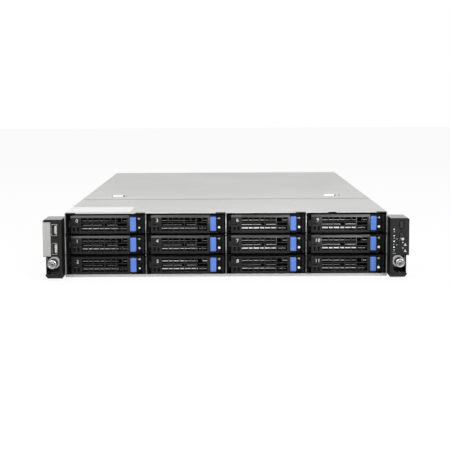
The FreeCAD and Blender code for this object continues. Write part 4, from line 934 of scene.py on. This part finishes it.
# Each light's place across and up, its size and its material.
LIGHT = [(0, 0.5), (0.6, 0.45), (0.9, 0.2), (1.0, -0.3)]
LIGHTS = ((235.4, 54.2, 2.0, 3), (223.8, 67.3, 1.2, 3), (223.8, 58.8, 1.15, 3), (223.8, 51.3, 1.15, 1),
          (223.8, 43.4, 1.0, 0))
for across, height, size, tone in LIGHTS:
    turned(mesh, [(radius * size, rise) for radius, rise in LIGHT], (across, EAR_FRONT, height),
           (0, -1, 0), tone, 20)

# Each bar's middle across and up, its width and its height; then two triangles.
BARS = ((223.8, 64.0, 2.2, 0.6), (223.8, 55.5, 2.2, 0.6), (227.5, 54.2, 0.7, 1.8), (223.8, 47.3, 2.2, 0.6),
        (227.5, 46.3, 0.7, 1.8), (223.8, 40.1, 2.4, 0.5), (223.8, 38.2, 1.8, 0.6), (223.9, 35.2, 4.6, 0.4),
        (235.4, 49.9, 2.2, 0.6), (235.2, 48.9, 1.2, 0.5), (235.4, 42.4, 2.2, 0.6), (235.6, 41.4, 1.2, 0.5))
for across, height, wide, tall in BARS:
    box(mesh, (across - wide / 2, EAR_FRONT - 0.1, height - tall / 2),
        (across + wide / 2, EAR_FRONT + 0.2, height + tall / 2), 3, 0.05)
TRIANGLE_ACROSS = 238.7
TRIANGLE_HEIGHTS = (46.4, 38.2)
for height in TRIANGLE_HEIGHTS:
    shape = bmesh.new()
    place = Vector((TRIANGLE_ACROSS, EAR_FRONT, height)) * MM
    bmesh.ops.create_cone(shape, cap_ends=True, segments=3, radius1=2.3 * MM, radius2=2.3 * MM,
                          depth=0.4 * MM,
                          matrix=Matrix.Translation(place) @ Matrix.Rotation(math.pi / 2, 4, "X"))
    join(mesh, shape, 3)
piece(mesh, "ear_lights_and_marks", "chassis", [glowing_milky_lens, white_ink, dark_hole, grey_lens])


# ---- Thumbscrews ---------------------------------------------------------
# Captive rack screws: a plated knob with a rolled rim and a cross recess, on
# a shank that passes through the ferrule and flange.

# Barrel plated nickel: bright, with soft reflections.
barrel_nickel = grained("barrel_plated_nickel", "#EAEAE8", "#D2D2D0", 0.8, 1.0, 0.36, 0.06)
# Knob recess: plating painted darker as the shade in the recess.
painted_shade_nickel = grained("painted_shade_recess_nickel", "#B4B4B2", "#868684", 0.7, 0.8, 0.5, 0.1)
KNOB = 6.35
KNOB_LENGTH = 12.0
KNOB_PROFILE = [(3.9, -2.2), (4.0, -1.0), (4.4, -0.3), (5.0, 0.0), (5.6, -0.2), (6.1, -0.7),
                (KNOB, -1.4), (KNOB, -KNOB_LENGTH + 0.6), (KNOB - 0.6, -KNOB_LENGTH),
                (4.2, -KNOB_LENGTH), (4.2, -KNOB_LENGTH - 0.4)]
RECESS = [(0, -1.3), (2.5, -1.3), (2.9, -1.7), (3.0, -2.2), (4.0, -2.2)]
CROSS = ((0.8, 3.8), (3.8, 0.8))
for side, name, body in ((-1, "left_thumbscrew", "left_screw"), (1, "right_thumbscrew", "right_screw")):
    front = corners(name)[0].y
    mesh = solid_of(name)
    knob_faces = [face for face in mesh.faces
                  if face.calc_center_median().y / MM < front + KNOB_LENGTH + 0.01]
    bmesh.ops.delete(mesh, geom=knob_faces, context="FACES")
    at = Vector((side * SCREW_ACROSS, front, SCREW_HEIGHT))
    turned(mesh, KNOB_PROFILE, at, (0, -1, 0), 0, 72)
    turned(mesh, RECESS, at, (0, -1, 0), 1, 48)
    for wide, tall in CROSS:
        box(mesh, (at.x - wide / 2, at.y + 1.2, at.z - tall / 2),
            (at.x + wide / 2, at.y + 2.0, at.z + tall / 2), 2)
    piece(mesh, name + "_knob", body, [barrel_nickel, painted_shade_nickel, dark_hole], [name])


# ---- Room ----------------------------------------------------------------
# A plain white floor in a bright room, one soft box above and three in front,
# and the camera a little above the server's top, in front of its middle.

mesh = bmesh.new()
bmesh.ops.create_grid(mesh, x_segments=1, y_segments=1, size=6.0,
                      matrix=Matrix.Translation((0, 0, cad_low.z - 0.4 * MM)))
data = bpy.data.meshes.new("studio_floor")
mesh.to_mesh(data)
mesh.free()
floor = bpy.data.objects.new("studio_floor", data)
bpy.context.scene.collection.objects.link(floor)
# Seamless white paper: it shows white and keeps a trace of the shadow.
paper, tree, shader, place = surface("seamless_white_paper", "#F4F4F4", 0.0, 0.9)
rays = add(tree, "LightPath")
tone = add(tree, "MapRange", {0: rays.outputs["Is Camera Ray"]})
tone.inputs["To Min"].default_value = 0.35
tone.inputs["To Max"].default_value = 0.92
tree.links.new(tone.outputs[0], shader.inputs["Base Color"])
share = add(tree, "Math", {0: rays.outputs["Is Camera Ray"]}, operation="MULTIPLY")
share.inputs[1].default_value = 0.9
glow = add(tree, "Emission", Color=(1, 1, 1, 1), Strength=1.0)
mixed = add(tree, "MixShader", {0: share.outputs[0], 1: shader.outputs[0], 2: glow.outputs[0]})
tree.links.new(mixed.outputs[0], tree.nodes["Material Output"].inputs["Surface"])
data.materials.append(paper)

world = bpy.data.worlds.new("studio")
bpy.context.scene.world = world
world.use_nodes = True
tree = world.node_tree
room = tree.nodes["Background"]
room.inputs["Color"].default_value = (1, 1, 1, 1)
# The room is bright overhead and behind the server, and dim in front of it.
towards = add(tree, "SeparateXYZ", {"Vector": add(tree, "TexCoord").outputs["Generated"]})
behind = add(tree, "MapRange", {0: towards.outputs["Y"]}, interpolation_type="SMOOTHSTEP")
behind.inputs["From Min"].default_value = -0.6
behind.inputs["From Max"].default_value = 0.7
behind.inputs["To Min"].default_value = 0.12
behind.inputs["To Max"].default_value = 0.9
rays = add(tree, "LightPath")
level = add(tree, "Math", {0: behind.outputs[0], 1: rays.outputs["Is Camera Ray"]}, operation="MAXIMUM")
tree.links.new(level.outputs[0], room.inputs["Strength"])


def soft_box(name, at, towards, size, power):
    """A square lamp at a place, turned to face another."""
    lamp = bpy.data.lights.new(name, "AREA")
    lamp.shape = "SQUARE"
    lamp.size = size
    lamp.energy = power
    holder = bpy.data.objects.new(name, lamp)
    holder.location = at
    holder.rotation_euler = (Vector(towards) - Vector(at)).to_track_quat("-Z", "Y").to_euler()
    bpy.context.scene.collection.objects.link(holder)


soft_box("overhead_box", (0.2, 0.1, 2.2), (0, 0, 0), 1.6, 11.5)
soft_box("front_left_box", (-0.7, -2.0, 1.2), (-0.05, -0.39, 0.04), 1.4, 26)
soft_box("front_right_box", (1.0, -2.0, 1.1), (0.1, -0.39, 0.04), 1.2, 24)
soft_box("front_low_box", (0.45, -2.3, 0.6), (0.0, -0.39, 0.04), 0.6, 9)

FOCAL = 94.2
CAMERA_PLACE = (-0.0004, -1.978, 0.2523)
DOWN = math.radians(6.53)
ROLL = math.radians(0.28)
camera = bpy.data.cameras.new("camera")
camera.lens = FOCAL
camera.sensor_width = 36.0
holder = bpy.data.objects.new("camera", camera)
holder.location = CAMERA_PLACE
holder.rotation_euler = (math.pi / 2 - DOWN, ROLL, 0)
bpy.context.scene.collection.objects.link(holder)
bpy.context.scene.camera = holder
bpy.context.scene.view_settings.view_transform = "Standard"
